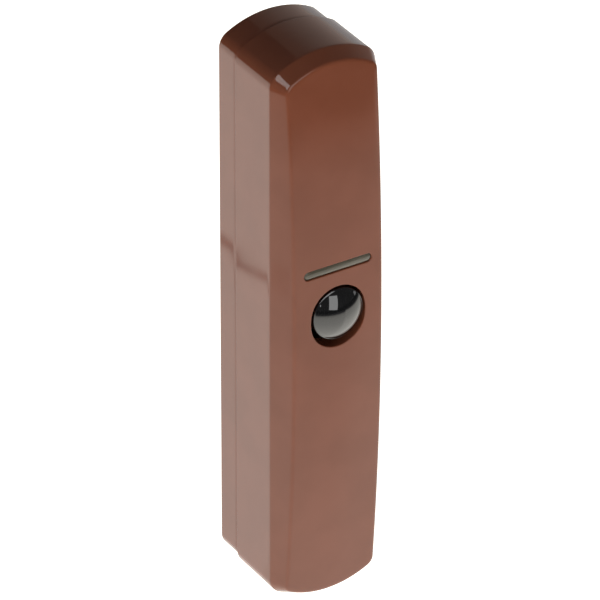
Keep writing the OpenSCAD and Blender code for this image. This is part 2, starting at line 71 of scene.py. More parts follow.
# ---------------------------------------------------------------- Light table and studio
# An evenly glowing white table, soft boxes in front and on the left, a screen behind on the
# right that fades upward, and sheets that show in reflections only. None of it is the object.
class Wire:
    """A shader socket. Arithmetic on it adds Math nodes; node() adds any other node."""

    def __init__(self, tree, socket):
        self.tree, self.socket = tree, socket

    def node(self, kind, settings=None, inputs=None, out=0):
        made = self.tree.nodes.new(kind)
        for name, value in (settings or {}).items():
            if name == "stops":
                ramp = made.color_ramp
                while len(ramp.elements) < len(value):
                    ramp.elements.new(1.0)
                for element, (place, colour) in zip(ramp.elements, value):
                    element.position, element.color = place, colour
            else:
                setattr(made, name, value)
        for name, value in (inputs or {}).items():
            if isinstance(value, Wire):
                self.tree.links.new(value.socket, made.inputs[name])
            else:
                made.inputs[name].default_value = value
        return Wire(self.tree, made.outputs[out])

    def maths(self, operation, first, second=0.0):
        return self.node("ShaderNodeMath", {"operation": operation}, {0: first, 1: second})

    def __add__(self, other):
        return self.maths("ADD", self, other)

    __radd__ = __add__

    def __sub__(self, other):
        return self.maths("SUBTRACT", self, other)

    def __rsub__(self, other):
        return self.maths("SUBTRACT", other, self)

    def __mul__(self, other):
        return self.maths("MULTIPLY", self, other)

    __rmul__ = __mul__

    def __truediv__(self, other):
        return self.maths("DIVIDE", self, other)

    def __rtruediv__(self, other):
        return self.maths("DIVIDE", other, self)

    def __pow__(self, other):
        return self.maths("POWER", self, other)

    def step(self, low, high):
        """0 below low, 1 above high, and a smooth rise between."""
        return self.node("ShaderNodeMapRange", {"interpolation_type": "SMOOTHSTEP"},
                         {"Value": self, "From Min": low, "From Max": high})

    def mix(self, first, second):
        """The colour that goes from first to second as this value goes from 0 to 1."""
        return self.node("ShaderNodeMix", {"data_type": "RGBA"},
                         {0: self, 6: first, 7: second}, out=2)

    def axis(self, index):
        """One coordinate of this vector: 0, 1 or 2 for x, y or z."""
        return self.node("ShaderNodeSeparateXYZ", None, {0: self}, out=index)

    def bump(self, strength, distance):
        """The normal of a surface that this height stands out of, by up to distance metres."""
        return self.node("ShaderNodeBump", None,
                         {"Strength": strength, "Distance": distance, "Height": self})

    def noise(self, scale, detail=2.0, rough=0.5, stretch=(1, 1, 1)):
        """Noise on this vector, with scale in cells per metre; stretch scales each axis."""
        spread = self.node("ShaderNodeMapping", None, {"Vector": self, "Scale": stretch})
        return self.node("ShaderNodeTexNoise", None,
                         {"Vector": spread, "Scale": scale, "Detail": detail, "Roughness": rough})


def start_material(name):
    """A new node material, its Principled shader and the piece's own coordinates."""
    material = bpy.data.materials.new(name)
    material.use_nodes = True
    tree = material.node_tree
    shader = tree.nodes["Principled BSDF"]
    place = Wire(tree, tree.nodes.new("ShaderNodeTexCoord").outputs["Object"])
    return material, shader, place


def connect(shader, **sockets):
    """Sets or links the shader's sockets; an underscore in a name stands for a space."""
    for name, value in sockets.items():
        socket = shader.inputs[name.replace("_", " ")]
        if isinstance(value, Wire):
            value.tree.links.new(value.socket, socket)
        else:
            socket.default_value = value


def put(name, verts, faces, material=None):
    """A mesh object at the origin from a vertex array and a list of faces."""
    mesh = bpy.data.meshes.new(name)
    mesh.from_pydata(np.asarray(verts, float).tolist(), [], faces)
    mesh.update()
    piece = bpy.data.objects.new(name, mesh)
    bpy.context.scene.collection.objects.link(piece)
    if material:
        mesh.materials.append(material)
    return piece


def glow(name, radiance):
    """A material that only shines."""
    material = bpy.data.materials.new(name)
    material.use_nodes = True
    tree = material.node_tree
    tree.nodes.clear()
    lamp = tree.nodes.new("ShaderNodeEmission")
    lamp.inputs["Color"].default_value = (1, 1, 1, 1)
    lamp.inputs["Strength"].default_value = radiance
    end = tree.nodes.new("ShaderNodeOutputMaterial")
    tree.links.new(lamp.outputs[0], end.inputs["Surface"])
    return material


def card(name, centre, width, height, radiance, roll=0.0, soft=True, mirrored=True):
    """A flat card facing the object, rolled by an angle in degrees, that shines evenly. It lights
    matt surfaces where soft is set, and shows in glossy ones where mirrored is set."""
    back = Vector(centre).normalized()
    turned = Quaternion(back, math.radians(roll))
    side = turned @ Vector((0, 0, 1)).cross(back).normalized() * (width / 2)
    rise = back.cross(side).normalized() * (height / 2)
    middle = Vector(centre)
    edge = [middle - side - rise, middle + side - rise, middle + side + rise,
            middle - side + rise]
    piece = put(name, np.array(edge), [(0, 1, 2, 3)], glow(name, radiance))
    piece.visible_camera = piece.visible_shadow = False
    piece.visible_diffuse, piece.visible_glossy = soft, mirrored
    return piece


table_z = cad_low.z
table_half = 3.0
table_corners = [(x * table_half, y * table_half, table_z)
                 for x, y in ((-1, -1), (1, -1), (1, 1), (-1, 1))]
table = put("light_table", table_corners, [(0, 1, 2, 3)])
table_look, table_shader, table_place = start_material("light_table")
speck = table_place.noise(3.0, 3)
connect(table_shader, Base_Color=(0.80, 0.80, 0.80, 1), Roughness=0.6,
        Emission_Color=speck.step(0.2, 0.8).mix((1, 0.965, 0.89, 1), (1, 0.975, 0.91, 1)),
        Emission_Strength=1.36)
table.data.materials.append(table_look)

card("front_soft_box", (0.03, -0.86, 0.20), 0.38, 0.50, 3.7, mirrored=False)
card("front_soft_box_shine", (0.03, -0.86, 0.27), 0.38, 0.60, 1.6, roll=-12, soft=False)
card("left_fill", (-0.75, -0.30, 0.16), 0.5, 0.40, 3.4, mirrored=False)
card("narrow_lamp", (-0.547, -0.766, 0.33), 0.016, 0.26, 5.0, roll=8, soft=False)
card("upper_left_reflector", (-0.55, -0.25, 0.67), 0.34, 0.56, 3.0, soft=False)

# A screen behind and to the right, bright at the table and fading upward
screen = card("rear_screen", (0.883, 0.469, 0.79), 1.86, 1.70, 1.0)
screen_look, screen_shader, screen_place = start_material("rear_screen")
screen_z = screen_place.axis(2)
screen_tall = 1.5
screen_stops = [(0.0, (0.46, 0.44, 0.43, 1)), (0.10, (0.37, 0.33, 0.30, 1)),
                (0.28, (0.29, 0.24, 0.215, 1)), (0.50, (0.20, 0.165, 0.145, 1)),
                (0.66, (0.11, 0.088, 0.076, 1)), (1.0, (0.05, 0.04, 0.035, 1))]
screen_fall = screen_z.node("ShaderNodeValToRGB", {"stops": screen_stops},
                            {"Fac": screen_z / screen_tall})
connect(screen_shader, Base_Color=(0, 0, 0, 1), Roughness=1.0, Specular_IOR_Level=0.0,
        Emission_Color=screen_fall, Emission_Strength=2.1)
screen.data.materials[0] = screen_look

# A low card closes the gap under the screen, which leans back
card("screen_foot", (1.325, 0.704, 0.05), 3.0, 0.30, 0.70, soft=False)

# A sheet on the table in front, seen only in reflections, that darkens away from the object
sheet_z = table_z + 0.0002
sheet_edge_y = -0.012
front_corners = [(-table_half, -table_half, sheet_z), (table_half, -table_half, sheet_z),
                 (table_half, sheet_edge_y, sheet_z), (-0.014, sheet_edge_y, sheet_z),
                 (-table_half, 2.4, sheet_z)]
front_sheet = put("front_sheet", front_corners, [(0, 1, 2, 3, 4)])
sheet_look, sheet_shader, sheet_place = start_material("front_sheet")
sheet_x, sheet_y = sheet_place.axis(0), sheet_place.axis(1)
away = (sheet_x * sheet_x + sheet_y * sheet_y) ** 0.5
right_of_view = (sheet_x * 0.85 + sheet_y * 0.53).step(-0.014, -0.004)
sheet_reach = 0.48
right_shift = 0.13
sheet_stops = [(0.0, (0.50, 0.485, 0.45, 1)), (0.08, (0.46, 0.446, 0.41, 1)),
               (0.22, (0.35, 0.34, 0.315, 1)), (0.38, (0.32, 0.31, 0.285, 1)),
               (0.50, (0.25, 0.24, 0.22, 1)), (0.64, (0.04, 0.04, 0.04, 1)),
               (1.0, (0.01, 0.01, 0.01, 1))]
fall = away.node("ShaderNodeValToRGB", {"stops": sheet_stops},
                 {"Fac": away / sheet_reach - right_of_view * right_shift})
connect(sheet_shader, Base_Color=(0, 0, 0, 1), Roughness=1.0, Emission_Color=fall,
        Emission_Strength=3.0, Specular_IOR_Level=0.0)
front_sheet.data.materials.append(sheet_look)

# More things seen only in reflections: a paler sheet behind on the right, a dim rod, a dim lump
dim = glow("dim_things", 0.42)
pale = glow("pale_sheet", 0.80)
pale_corners = [(0.21, 0.30, sheet_z), (0.36, 0.06, sheet_z), (table_half, 0.40, sheet_z),
                (table_half, table_half, sheet_z), (1.68, table_half, sheet_z)]
rod_half_w = 0.0013
rod_path = [(-0.0820, 0.080), (-0.0770, 0.0985), (-0.0787, 0.104), (-0.0765, 0.132)]
rod = [(x + side * rod_half_w, y, sheet_z) for side in (-1, 1) for x, y in rod_path]
lump_corners = [(-0.140, 0.024, sheet_z), (-0.125, 0.026, sheet_z),
                (-0.125, 0.038, sheet_z), (-0.137, 0.036, sheet_z)]
unseen = [front_sheet,
          put("pale_sheet", pale_corners, [(0, 1, 2, 3, 4)], pale),
          put("dim_rod", rod, [(i, i + 4, i + 5, i + 1) for i in range(3)], dim),
          put("dim_lump", lump_corners, [(0, 1, 2, 3)], dim)]
for piece in unseen:
    piece.visible_camera = piece.visible_diffuse = piece.visible_shadow = False

world = bpy.data.worlds.new("room")
bpy.context.scene.world = world
world.use_nodes = True
background = world.node_tree.nodes["Background"]
background.inputs["Color"].default_value = (1, 1, 1, 1)
background.inputs["Strength"].default_value = 0.06
bpy.context.scene.view_settings.view_transform = "Standard"

camera_aim = Vector((0.00037, -0.01145, 0.00106))
camera_azimuth = math.radians(-31.92)
camera_elevation = math.radians(31.79)
camera_distance = 1.2969
camera_roll = math.radians(0.10)
toward_camera = Vector((math.sin(camera_azimuth) * math.cos(camera_elevation),
                        -math.cos(camera_azimuth) * math.cos(camera_elevation),
                        math.sin(camera_elevation)))
camera = bpy.data.objects.new("camera", bpy.data.cameras.new("camera"))
bpy.context.scene.collection.objects.link(camera)
camera.data.sensor_width = 36
camera.data.lens = 382.5
camera.data.clip_start, camera.data.clip_end = 0.05, 20
camera.location = camera_aim + toward_camera * camera_distance
camera.rotation_mode = "QUATERNION"
camera.rotation_quaternion = (-toward_camera).to_track_quat("-Z", "Y") @ Quaternion(
    (0, 0, 1), camera_roll)
bpy.context.scene.camera = camera


# ---------------------------------------------------------------- Front cover
# The visible shell: one injection moulding in brown glossy ABS, with arched ends, straight
# sides, a bevel of even width and a front that bows out round the lens hole and the light slot.
# It hooks on at the top, and a screw at the lower end keeps it shut.
def weld(name, grids, material=None, sharp=35.0):
    """One mesh from grids of points (rows, columns, 3), in millimetres. Points that coincide
    become one vertex, squares that collapse to an edge or a point go, so seams and poles close,
    and each closed shell is turned to face outward."""
    points, squares, start = [], [], 0
    for grid in grids:
        rows, columns = grid.shape[:2]
        index = start + np.arange(rows * columns).reshape(rows, columns)
        squares.append(np.stack([index[:-1, :-1], index[:-1, 1:], index[1:, 1:], index[1:, :-1]],
                                -1).reshape(-1, 4))
        points.append(grid.reshape(-1, 3))
        start += rows * columns
    points, squares = np.concatenate(points), np.concatenate(squares)
    _, first, where = np.unique(np.round(points / 2e-4).astype(np.int64), axis=0,
                                return_index=True, return_inverse=True)
    points, squares = points[first], where.reshape(-1)[squares]
    doubled = squares == np.roll(squares, -1, axis=1)
    whole = squares[~doubled.any(1)]
    pinched = doubled.sum(1) == 1
    triangles = squares[pinched][~doubled[pinched]].reshape(-1, 3)
    loops = np.concatenate([whole.reshape(-1), triangles.reshape(-1)])
    sizes = np.concatenate([np.full(len(whole), 4), np.full(len(triangles), 3)])
    mesh = bpy.data.meshes.new(name)
    mesh.vertices.add(len(points))
    mesh.vertices.foreach_set("co", (points * MM).reshape(-1))
    mesh.loops.add(len(loops))
    mesh.loops.foreach_set("vertex_index", loops.astype(np.int32))
    mesh.polygons.add(len(sizes))
    starts = np.concatenate([[0], np.cumsum(sizes)[:-1]])
    mesh.polygons.foreach_set("loop_start", starts.astype(np.int32))
    mesh.update(calc_edges=True)
    mesh.validate()
    shell = bmesh.new()
    shell.from_mesh(mesh)
    bmesh.ops.recalc_face_normals(shell, faces=shell.faces)
    shell.to_mesh(mesh)
    shell.free()
    mesh.polygons.foreach_set("use_smooth", np.ones(len(mesh.polygons), bool))
    mesh.set_sharp_from_angle(angle=math.radians(sharp))
    piece = bpy.data.objects.new(name, mesh)
    bpy.context.scene.collection.objects.link(piece)
    if material:
        mesh.materials.append(material)
    return piece


def lay(x, depth, z):
    """A grid of points from x, depth out from the wall and z."""
    x, depth, z = np.broadcast_arrays(x, depth, z)
    return np.stack([x, -depth, z], -1)


def full_turn(steps):
    """Angles of a full turn, the last of which is the first again, so that a ring closes."""
    return np.append(np.linspace(0, 2 * math.pi, steps + 1)[:-1], 0.0)


def corners(node):
    """A node's lowest and highest corner in millimetres."""
    low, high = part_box(node)
    return np.array(low) / MM, np.array(high) / MM


cover_low, cover_high = corners("front_cover")
swing = next(j for j in frame["record"]["behaviour"]["joints"] if j["name"] == "cover_swing")
base_d = -swing["pos_m"][1] / MM
half_w = cover_high[0]
half_l = cover_high[2]
seam_gap = 0.05
seam_d = base_d + seam_gap
front_d = -cover_low[1]
front_bow = 3.25
end_rise = 4.0
corner_r = 4.1
side_d = 20.4
bevel_w = 1.85
bevel_soft = 0.7
seam_soft = 0.07
cover_wall = 1.8
front_wall = 1.9
arch_r = (half_w ** 2 + end_rise ** 2) / (2 * end_rise)
arch_z = half_l - arch_r
corner_x = half_w - corner_r
corner_z = arch_z + math.sqrt((arch_r - corner_r) ** 2 - corner_x ** 2)
corner_turn = math.atan2(corner_z - arch_z, corner_x)
bow_r = (half_l ** 2 + front_bow ** 2) / (2 * front_bow)
across = 48
corner_steps = 14
cap_steps = 8
lower_rows = 70
upper_rows = 50


def face_depth(z):
    """Depth of the front face at height z: a long-radius arc across the length."""
    return front_d - bow_r + np.sqrt(bow_r ** 2 - z ** 2)


def cap_curve(inset):
    """Upper end of the outline, left to right: corner arc, arch, corner arc."""
    arch_steps = across - 2 * corner_steps
    corner = np.linspace(0, corner_turn, corner_steps + 1)
    arch = np.linspace(corner_turn, math.pi - corner_turn, arch_steps + 1)[1:-1]
    right_x = corner_x + (corner_r - inset) * np.cos(corner)
    right_z = corner_z + (corner_r - inset) * np.sin(corner)
    x = np.concatenate([right_x, (arch_r - inset) * np.cos(arch), -right_x[::-1]])
    z = np.concatenate([right_z, arch_z + (arch_r - inset) * np.sin(arch), right_z[::-1]])
    return x[::-1], z[::-1]


lens_low, lens_high = corners("pir_lens")
guide_low, guide_high = corners("light_guide")
lens_z = (lens_low[2] + lens_high[2]) / 2
lens_r = (lens_high[0] - lens_low[0]) / 2
hole_r = lens_r + 0.6
hole_drop = 1.2
hole_z = lens_z - hole_drop / 2
slot_z = (guide_low[2] + guide_high[2]) / 2
slot_h = 1.9
slot_l = 15.9
rim_soft = 0.2
hole_zone = (-4.6, 14.1)
slot_zone = (14.1, 19.4)
cap_row = corner_z - 3.0
hole_rows = 40
slot_rows = 12


def zone_edge(w, low, high, rows):
    """Closed rectangle edge from its lower left, anticlockwise, with the face's own columns."""
    xs, zs = np.linspace(-w, w, across + 1), np.linspace(low, high, rows + 1)
    x = np.concatenate([xs[:-1], np.full(rows, w), xs[::-1][:-1], np.full(rows + 1, -w)])
    z = np.concatenate([np.full(across, low), zs[:-1], np.full(across, high), zs[::-1]])
    return x, z


def hole_curve(grow):
    """Edge of the lens hole, a circle drawn out downward, moved out by grow."""
    low, high = hole_zone[0] - hole_z, hole_zone[1] - hole_z
    corner = [math.atan2(low, -half_w), math.atan2(low, half_w), math.atan2(high, half_w),
              math.atan2(high, -half_w)]
    turn = np.concatenate([np.linspace(corner[0], corner[1], across + 1)[:-1],
                           np.linspace(corner[1], corner[2], hole_rows + 1)[:-1],
                           np.linspace(corner[2], corner[3], across + 1)[:-1],
                           np.linspace(corner[3], corner[0] + 2 * math.pi, hole_rows + 1)])
    x = (hole_r + grow) * np.cos(turn)
    z = hole_z + hole_drop / 2 * np.tanh(3 * np.sin(turn)) + (hole_r + grow) * np.sin(turn)
    return x, z


def slot_curve(grow):
    """Edge of the light slot, a bar with round ends, moved out by grow."""
    run, r = (slot_l - slot_h) / 2, slot_h / 2
    xs = np.linspace(-run, run, across + 1)
    turn = np.linspace(-math.pi / 2, math.pi / 2, slot_rows + 1)
    x = np.concatenate([xs[:-1], run + (r + grow) * np.cos(turn)[:-1], xs[::-1][:-1],
                        -run - (r + grow) * np.cos(turn)])
    z = np.concatenate([np.full(across, -r - grow), (r + grow) * np.sin(turn)[:-1],
                        np.full(across, r + grow), -(r + grow) * np.sin(turn)])
    return x, slot_z + z


def face_grids(inset, sink, soft):
    """The front face at an inset from the outline and sunk below the outer face: bands of plain
    rows, and round the hole and the slot grids that run from their edge to a rectangle."""
    w = half_w - inset
    columns = np.linspace(-w, w, across + 1)
    grids = []
    for low, high, rows in ((-cap_row, hole_zone[0], lower_rows),
                            (slot_zone[1], cap_row, upper_rows)):
        z = np.linspace(low, high, rows + 1)[:, None]
        grids.append(lay(columns[None], face_depth(z) - sink, z))
    cap_x, cap_z = cap_curve(inset)
    v = np.linspace(0, 1, cap_steps + 1)[:, None]
    x, z = columns * (1 - v) + cap_x * v, cap_row * (1 - v) + cap_z * v
    grids.append(lay(x, face_depth(z) - sink, z))
    grids.append(lay(x, face_depth(z) - sink, -z))
    for curve, zone, rows in ((hole_curve, hole_zone, hole_rows),
                              (slot_curve, slot_zone, slot_rows)):
        out_x, out_z = zone_edge(w, *zone, rows)
        rings = []
        for turn in np.linspace(0, math.pi / 2, 6) if soft else [math.pi / 2]:
            x, z = curve(soft * (1 - math.cos(turn)) if soft else 0)
            rings.append(lay(x, face_depth(z) - sink - soft * (1 - math.sin(turn)), z))
        start_x, start_z = curve(soft)
        for v in (np.linspace(0, 1, 15) ** 1.3)[1:]:
            x, z = start_x * (1 - v) + out_x * v, start_z * (1 - v) + out_z * v
            rings.append(lay(x, face_depth(z) - sink, z))
        grids.append(np.stack(rings)[::-1])
    return grids


def loop(inset):
    """Closed outline at an inset, anticlockwise in the front view from the lower left."""
    w = half_w - inset
    rise = np.linspace(0, 1, cap_steps + 1)
    rows = np.concatenate([-cap_row - (corner_z - cap_row) * rise[::-1][:-1],
                           np.linspace(-cap_row, hole_zone[0], lower_rows + 1)[:-1],
                           np.linspace(*hole_zone, hole_rows + 1)[:-1],
                           np.linspace(*slot_zone, slot_rows + 1)[:-1],
                           np.linspace(slot_zone[1], cap_row, upper_rows + 1)[:-1],
                           cap_row + (corner_z - cap_row) * rise])
    cap_x, cap_z = cap_curve(inset)
    x = np.concatenate([cap_x, np.full(len(rows) - 2, w), cap_x[::-1],
                        np.full(len(rows) - 1, -w)])
    z = np.concatenate([-cap_z, rows[1:-1], cap_z[::-1], rows[::-1][:-1]])
    return np.append(x, x[0]), np.append(z, z[0])


def bend(a, corner, b, steps):
    """Rounded corner of a section as a quadratic curve from a to b."""
    t = np.linspace(0, 1, steps + 1)[:, None]
    return (1 - t) ** 2 * np.array(a) + 2 * t * (1 - t) * np.array(corner) + t ** 2 * np.array(b)


def cover_skin():
    """Rings of the shell's section, from the front face's edge round to the inner face's edge.
    A ring's first number is its inset, its second the depth, and its third how much of the
    rise up to the bowed face it takes; below zero it reaches down the side instead, and None
    puts the ring on the inner face."""
    slope = bevel_soft / math.hypot(bevel_w, front_d - side_d)
    low = 0.06
    face_bend = bend((bevel_w + bevel_soft, 1), (bevel_w, 1), (bevel_w * (1 - slope), 1 - slope), 6)
    bevel = np.linspace(1 - slope, low, 8)[1:-1]
    side_bend = bend((bevel_w * low, low), (0, 0), (0, -low), 4)
    rings = [(i, side_d, rise) for i, rise in face_bend]
    rings += [(bevel_w * rise, side_d, rise) for rise in bevel]
    rings += [(i, side_d, rise) for i, rise in side_bend]
    rings += [(0, d, 0) for d in np.linspace(side_d - 1, seam_d + 2 * seam_soft, 6)]
    rings += [(0, seam_d + seam_soft, 0)]
    rings += [(seam_soft * (1 - math.cos(t)), seam_d + seam_soft * (1 - math.sin(t)), 0)
              for t in np.linspace(0, math.pi / 2, 4)[1:]]
    rings += [(cover_wall, seam_d, 0), (cover_wall, side_d, 0),
              (cover_wall + bevel_w, side_d, 0), (cover_wall + bevel_w, side_d, None)]
    below_side = 3.0
    grid = []
    for inset, depth, rise in rings:
        x, z = loop(inset)
        top = face_depth(z)
        if rise is None:
            grid.append(lay(x, top - front_wall, z))
        else:
            reach = (top - depth) * max(rise, 0) + min(rise, 0) * below_side
            grid.append(lay(x, depth + reach, z))
    return np.stack(grid)


def hole_walls():
    """Walls of the lens hole and the light slot, from the rim's rounding to the inner face."""
    walls = []
    for curve in (hole_curve, slot_curve):
        x, z = curve(0)
        sink = np.linspace(rim_soft, front_wall, 5)[:, None]
        walls.append(lay(x[None], face_depth(z)[None] - sink, z[None]))
    return walls


def brown_abs(name):
    """Moulded ABS coloured through: slight cloudiness, a fine orange peel and faint haze."""
    material, shader, place = start_material(name)
    cloud = place.noise(90, 3)
    peel = place.noise(900, 2)
    grain = place.noise(5200, 2)
    haze = place.noise(60, 4, 0.6, (1, 1, 0.35)).step(0.35, 0.75)
    colour = cloud.step(0.3, 0.7).mix((0.152, 0.045, 0.022, 1), (0.170, 0.052, 0.027, 1))
    relief = (peel * 0.7 + grain * 0.3).bump(0.05, 0.00002)
    connect(shader, Base_Color=colour, Roughness=0.055 + haze * 0.04, Normal=relief,
            IOR=1.53, Specular_IOR_Level=0.5)
    return material


housing_look = brown_abs("brown_abs")
cover_grids = face_grids(bevel_w + bevel_soft, 0, rim_soft)
cover_grids += face_grids(cover_wall + bevel_w, front_wall, 0)
front_cover = weld("front_cover_shell", cover_grids + [cover_skin()] + hole_walls(),
                   housing_look)
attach(front_cover, "cover")
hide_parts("front_cover")


def block(low, high, soft):
    """Six grids of a box from corner to corner with rounded edges: each face's directions, at
    45 degrees to either side and flat between, times soft, stand on a box smaller by soft."""
    low, high = np.minimum(low, high), np.maximum(low, high)
    middle, half = (low + high) / 2, (high - low) / 2
    soft = min(soft, half.min() * 0.95)
    turn = np.tan(np.radians([-45, -22.5, 0, 0, 22.5, 45]))
    sign = np.array([-1, -1, -1, 1, 1, 1])
    way = np.stack([*np.meshgrid(turn, turn, indexing="ij"), np.ones((6, 6))], -1)
    way /= np.linalg.norm(way, axis=-1, keepdims=True)
    side = np.stack([*np.meshgrid(sign, sign, indexing="ij"), np.ones((6, 6))], -1)
    grids = []
    for axis in range(3):
        for end in (-1, 1):
            order = [(axis + 1) % 3, (axis + 2) % 3, axis]
            out, corner = np.empty((6, 6, 3)), np.empty((6, 6, 3))
            out[..., order], corner[..., order] = way * (1, 1, end), side * (1, 1, end)
            grids.append(middle + corner * (half - soft) + out * soft)
    return grids


def cut(piece, cutters):
    """Takes closed cutter grids out of a piece and keeps the result as its mesh."""
    knife = weld("knife", cutters)
    work = piece.modifiers.new("cut", "BOOLEAN")
    work.operation, work.solver, work.object = "DIFFERENCE", "EXACT", knife
    bpy.context.view_layer.update()
    seen = piece.evaluated_get(bpy.context.evaluated_depsgraph_get())
    cut_mesh = bpy.data.meshes.new_from_object(seen)
    piece.modifiers.clear()
    old, piece.data = piece.data, cut_mesh
    cut_mesh.name = piece.name
    bpy.data.meshes.remove(old)
    bpy.data.objects.remove(knife)
    cut_mesh.set_sharp_from_angle(angle=math.radians(35))


def round_bar(radius, run, x, z, high_d):
    """Cutter for a hole in the floor: a bar with round ends, upright in the front view, from
    behind the back up to a depth."""
    turn = full_turn(48)
    shift = run * np.clip(np.sin(turn) * 1e6, -1, 1)
    rings = []
    for size, depth in ((0, -behind), (radius, -behind), (radius, 0), (radius, high_d),
                        (0, high_d)):
        on = 1.0 if size else 0.0
        rings.append(lay(x + size * np.cos(turn), depth, z + on * shift + size * np.sin(turn)))
    return np.stack(rings)


def notch(radius, high_z):
    """Cutter for the cover screw: a half circle of the given radius round the screw's axis, drawn
    out to the rear edge, from below the lower end up to a height."""
    turn = np.linspace(0, math.pi, 17)
    rear_d, low_z = base_d - past, -half_l - past
    x = np.concatenate([[radius], radius * np.cos(turn), [-radius], [radius]])
    depth = np.concatenate([[rear_d], screw_d + radius * np.sin(turn), [rear_d], [rear_d]])
    rings = [(0, low_z), (1, low_z), (1, high_z), (0, high_z)]
    return np.stack([lay(on * x, screw_d + on * (depth - screw_d), z) for on, z in rings])


closer_low, closer_high = corners("cover_screw")
screw_d = -(closer_low[1] + closer_high[1]) / 2
# Cutters run this far past what they cut, and start this far behind the back
past = 1.0
behind = 0.5
shank_r = 0.95
notch_gap = 0.25
head_pocket = 1.0
shank_notch = 4.0
cut(front_cover, [notch(closer_high[0] + notch_gap, -half_l + head_pocket)])
cut(front_cover, [notch(shank_r + notch_gap, -half_l + shank_notch)])
tongue_x = 4.5
tongue_w = 3.2
tongue_d = 5.0
tongue_t = 0.9
tongue_web = 2.5
tongue_lap = 1.2
tongue_root = 2.2
lip_d = 8.9
swing_gap = 0.3
base_inner = 2.95
tongues = []
for side in (-1, 1):
    left, right = side * tongue_x - tongue_w / 2, side * tongue_x + tongue_w / 2
    foot_z = half_l - base_inner - tongue_web
    tongues += block((left, -lip_d - swing_gap - tongue_web, foot_z),
                     (right, -lip_d - swing_gap, half_l - tongue_root), 0.2)
    tongues += block((left, -lip_d - tongue_lap, foot_z),
                     (right, -tongue_d, foot_z + tongue_t), 0.2)
cover_tongues = weld("cover_tongues", tongues, housing_look)
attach(cover_tongues, "cover")
collar_t = 0.8
collar_soft = 0.1
collar_root = front_wall - 0.05
collar_end = front_wall + 2.2
collar_rings = [(0, collar_root), (0, collar_end - collar_soft), (collar_soft, collar_end),
                (collar_t - collar_soft, collar_end), (collar_t, collar_end - collar_soft),
                (collar_t, collar_root), (0, collar_root)]
collar_edge = [(hole_curve(grow), sink) for grow, sink in collar_rings]
collar = weld("lens_hole_collar", [np.stack([lay(x, face_depth(z) - sink, z)
                                             for (x, z), sink in collar_edge])], housing_look)
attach(collar, "cover")


# ---------------------------------------------------------------- Rear base
# The shallow tray that is screwed to the wall: brown ABS again, with a lip that stands inside
# the cover, board posts, ribs that cradle the cell and a lug for the cover screw.
base_inset = 0.55
floor_t = 2.0
root_d = floor_t - 0.05
lip_inset = cover_wall + 0.2
rear_soft = 0.35


def lathe(profile, centre, out=True, sides=64):
    """A profile of radius and height turned about its own axis, which runs out from the wall, or
    up where out is False."""
    turn = full_turn(sides)
    radius, height = np.array(profile, float).T[:, :, None]
    first, second = radius * np.cos(turn), radius * np.sin(turn)
    height = height + 0 * first
    x, y, z = centre
    if out:
        return np.stack([x + first, y - height, z + second], -1)
    return np.stack([x + first, y + second, z + height], -1)


def base_rings():
    """The tray's section from the middle of its back, over the rounded rear edge, up the side,
    over the step and the lip, and down to the middle of its floor."""
    rings = [(None, 0), (base_inset + 1, 0), (base_inset + rear_soft, 0)]
    rings += [(base_inset + rear_soft * (1 - math.sin(t)), rear_soft * (1 - math.cos(t)))
              for t in np.linspace(0, math.pi / 2, 6)[1:]]
    rings += [(base_inset, d) for d in np.linspace(rear_soft + 0.05, base_d - 0.12, 5)]
    rings += [(base_inset + 0.04, base_d - 0.03), (base_inset + 0.14, base_d)]
    rings += [(lip_inset, base_d), (lip_inset, lip_d - 0.15), (lip_inset + 0.05, lip_d - 0.04),
              (lip_inset + 0.15, lip_d), (base_inner - 0.15, lip_d), (base_inner - 0.05, lip_d - 0.04),
              (base_inner, lip_d - 0.15), (base_inner, floor_t + 0.3), (base_inner + 0.1, floor_t + 0.1),
              (base_inner + 0.3, floor_t), (base_inner + 0.8, floor_t), (None, floor_t)]
    grid = []
    for inset, depth in rings:
        x, z = loop(base_inner if inset is None else inset)
        size = 0.0 if inset is None else 1.0
        grid.append(lay(size * x, depth, size * z))
    return np.stack(grid)


def saddle(z):
    """A rib whose free edge dips in an arc that cradles the cell: a row of sections across x."""
    thick, seat = 1.2, sleeve_high[0] + 0.15
    reach = half_w - base_inset - 1.0
    x = np.linspace(-reach, reach, 61)[:, None]
    edge = cell_axis_d - np.sqrt(np.clip(seat ** 2 - x ** 2, 0, None))
    edge = np.minimum(edge, base_d - 0.02)
    root = root_d + 0 * x
    depth = np.concatenate([root, edge - 0.1, edge, edge, edge - 0.1, root, root], 1)
    across_z = z + thick / 2 * np.array([[-1, -1, -0.83, 0.83, 1, 1, -1]]) + 0 * x
    grid = lay(x + 0 * depth, depth, across_z)
    start, end = grid[:1].mean(1, keepdims=True), grid[-1:].mean(1, keepdims=True)
    return np.concatenate([start + 0 * grid[:1], grid, end + 0 * grid[:1]])


def lug():
    """Block that the cover screw bites into; its lower face follows the arched end, a little
    inside the cover's wall."""
    wide, thick, high_d, soft = 4.0, 2.1, -corners("rear_base")[0][1], 0.2
    low_x = np.linspace(-wide, wide, 17)
    low_z = -(arch_z + np.sqrt((arch_r - lip_inset - 0.1) ** 2 - low_x ** 2))
    top_z = -half_l + lip_inset + 0.1 + thick
    x = np.concatenate([low_x, [wide, -wide, -wide]])
    z = np.concatenate([low_z, [top_z, top_z, low_z[0]]])
    mid = (low_z.min() + top_z) / 2
    rings = [(0, root_d), (1, root_d), (1, high_d - soft), (1 - soft / 4, high_d), (0, high_d)]
    return np.stack([lay(on * x, depth, mid + on * (z - mid)) for on, depth in rings])


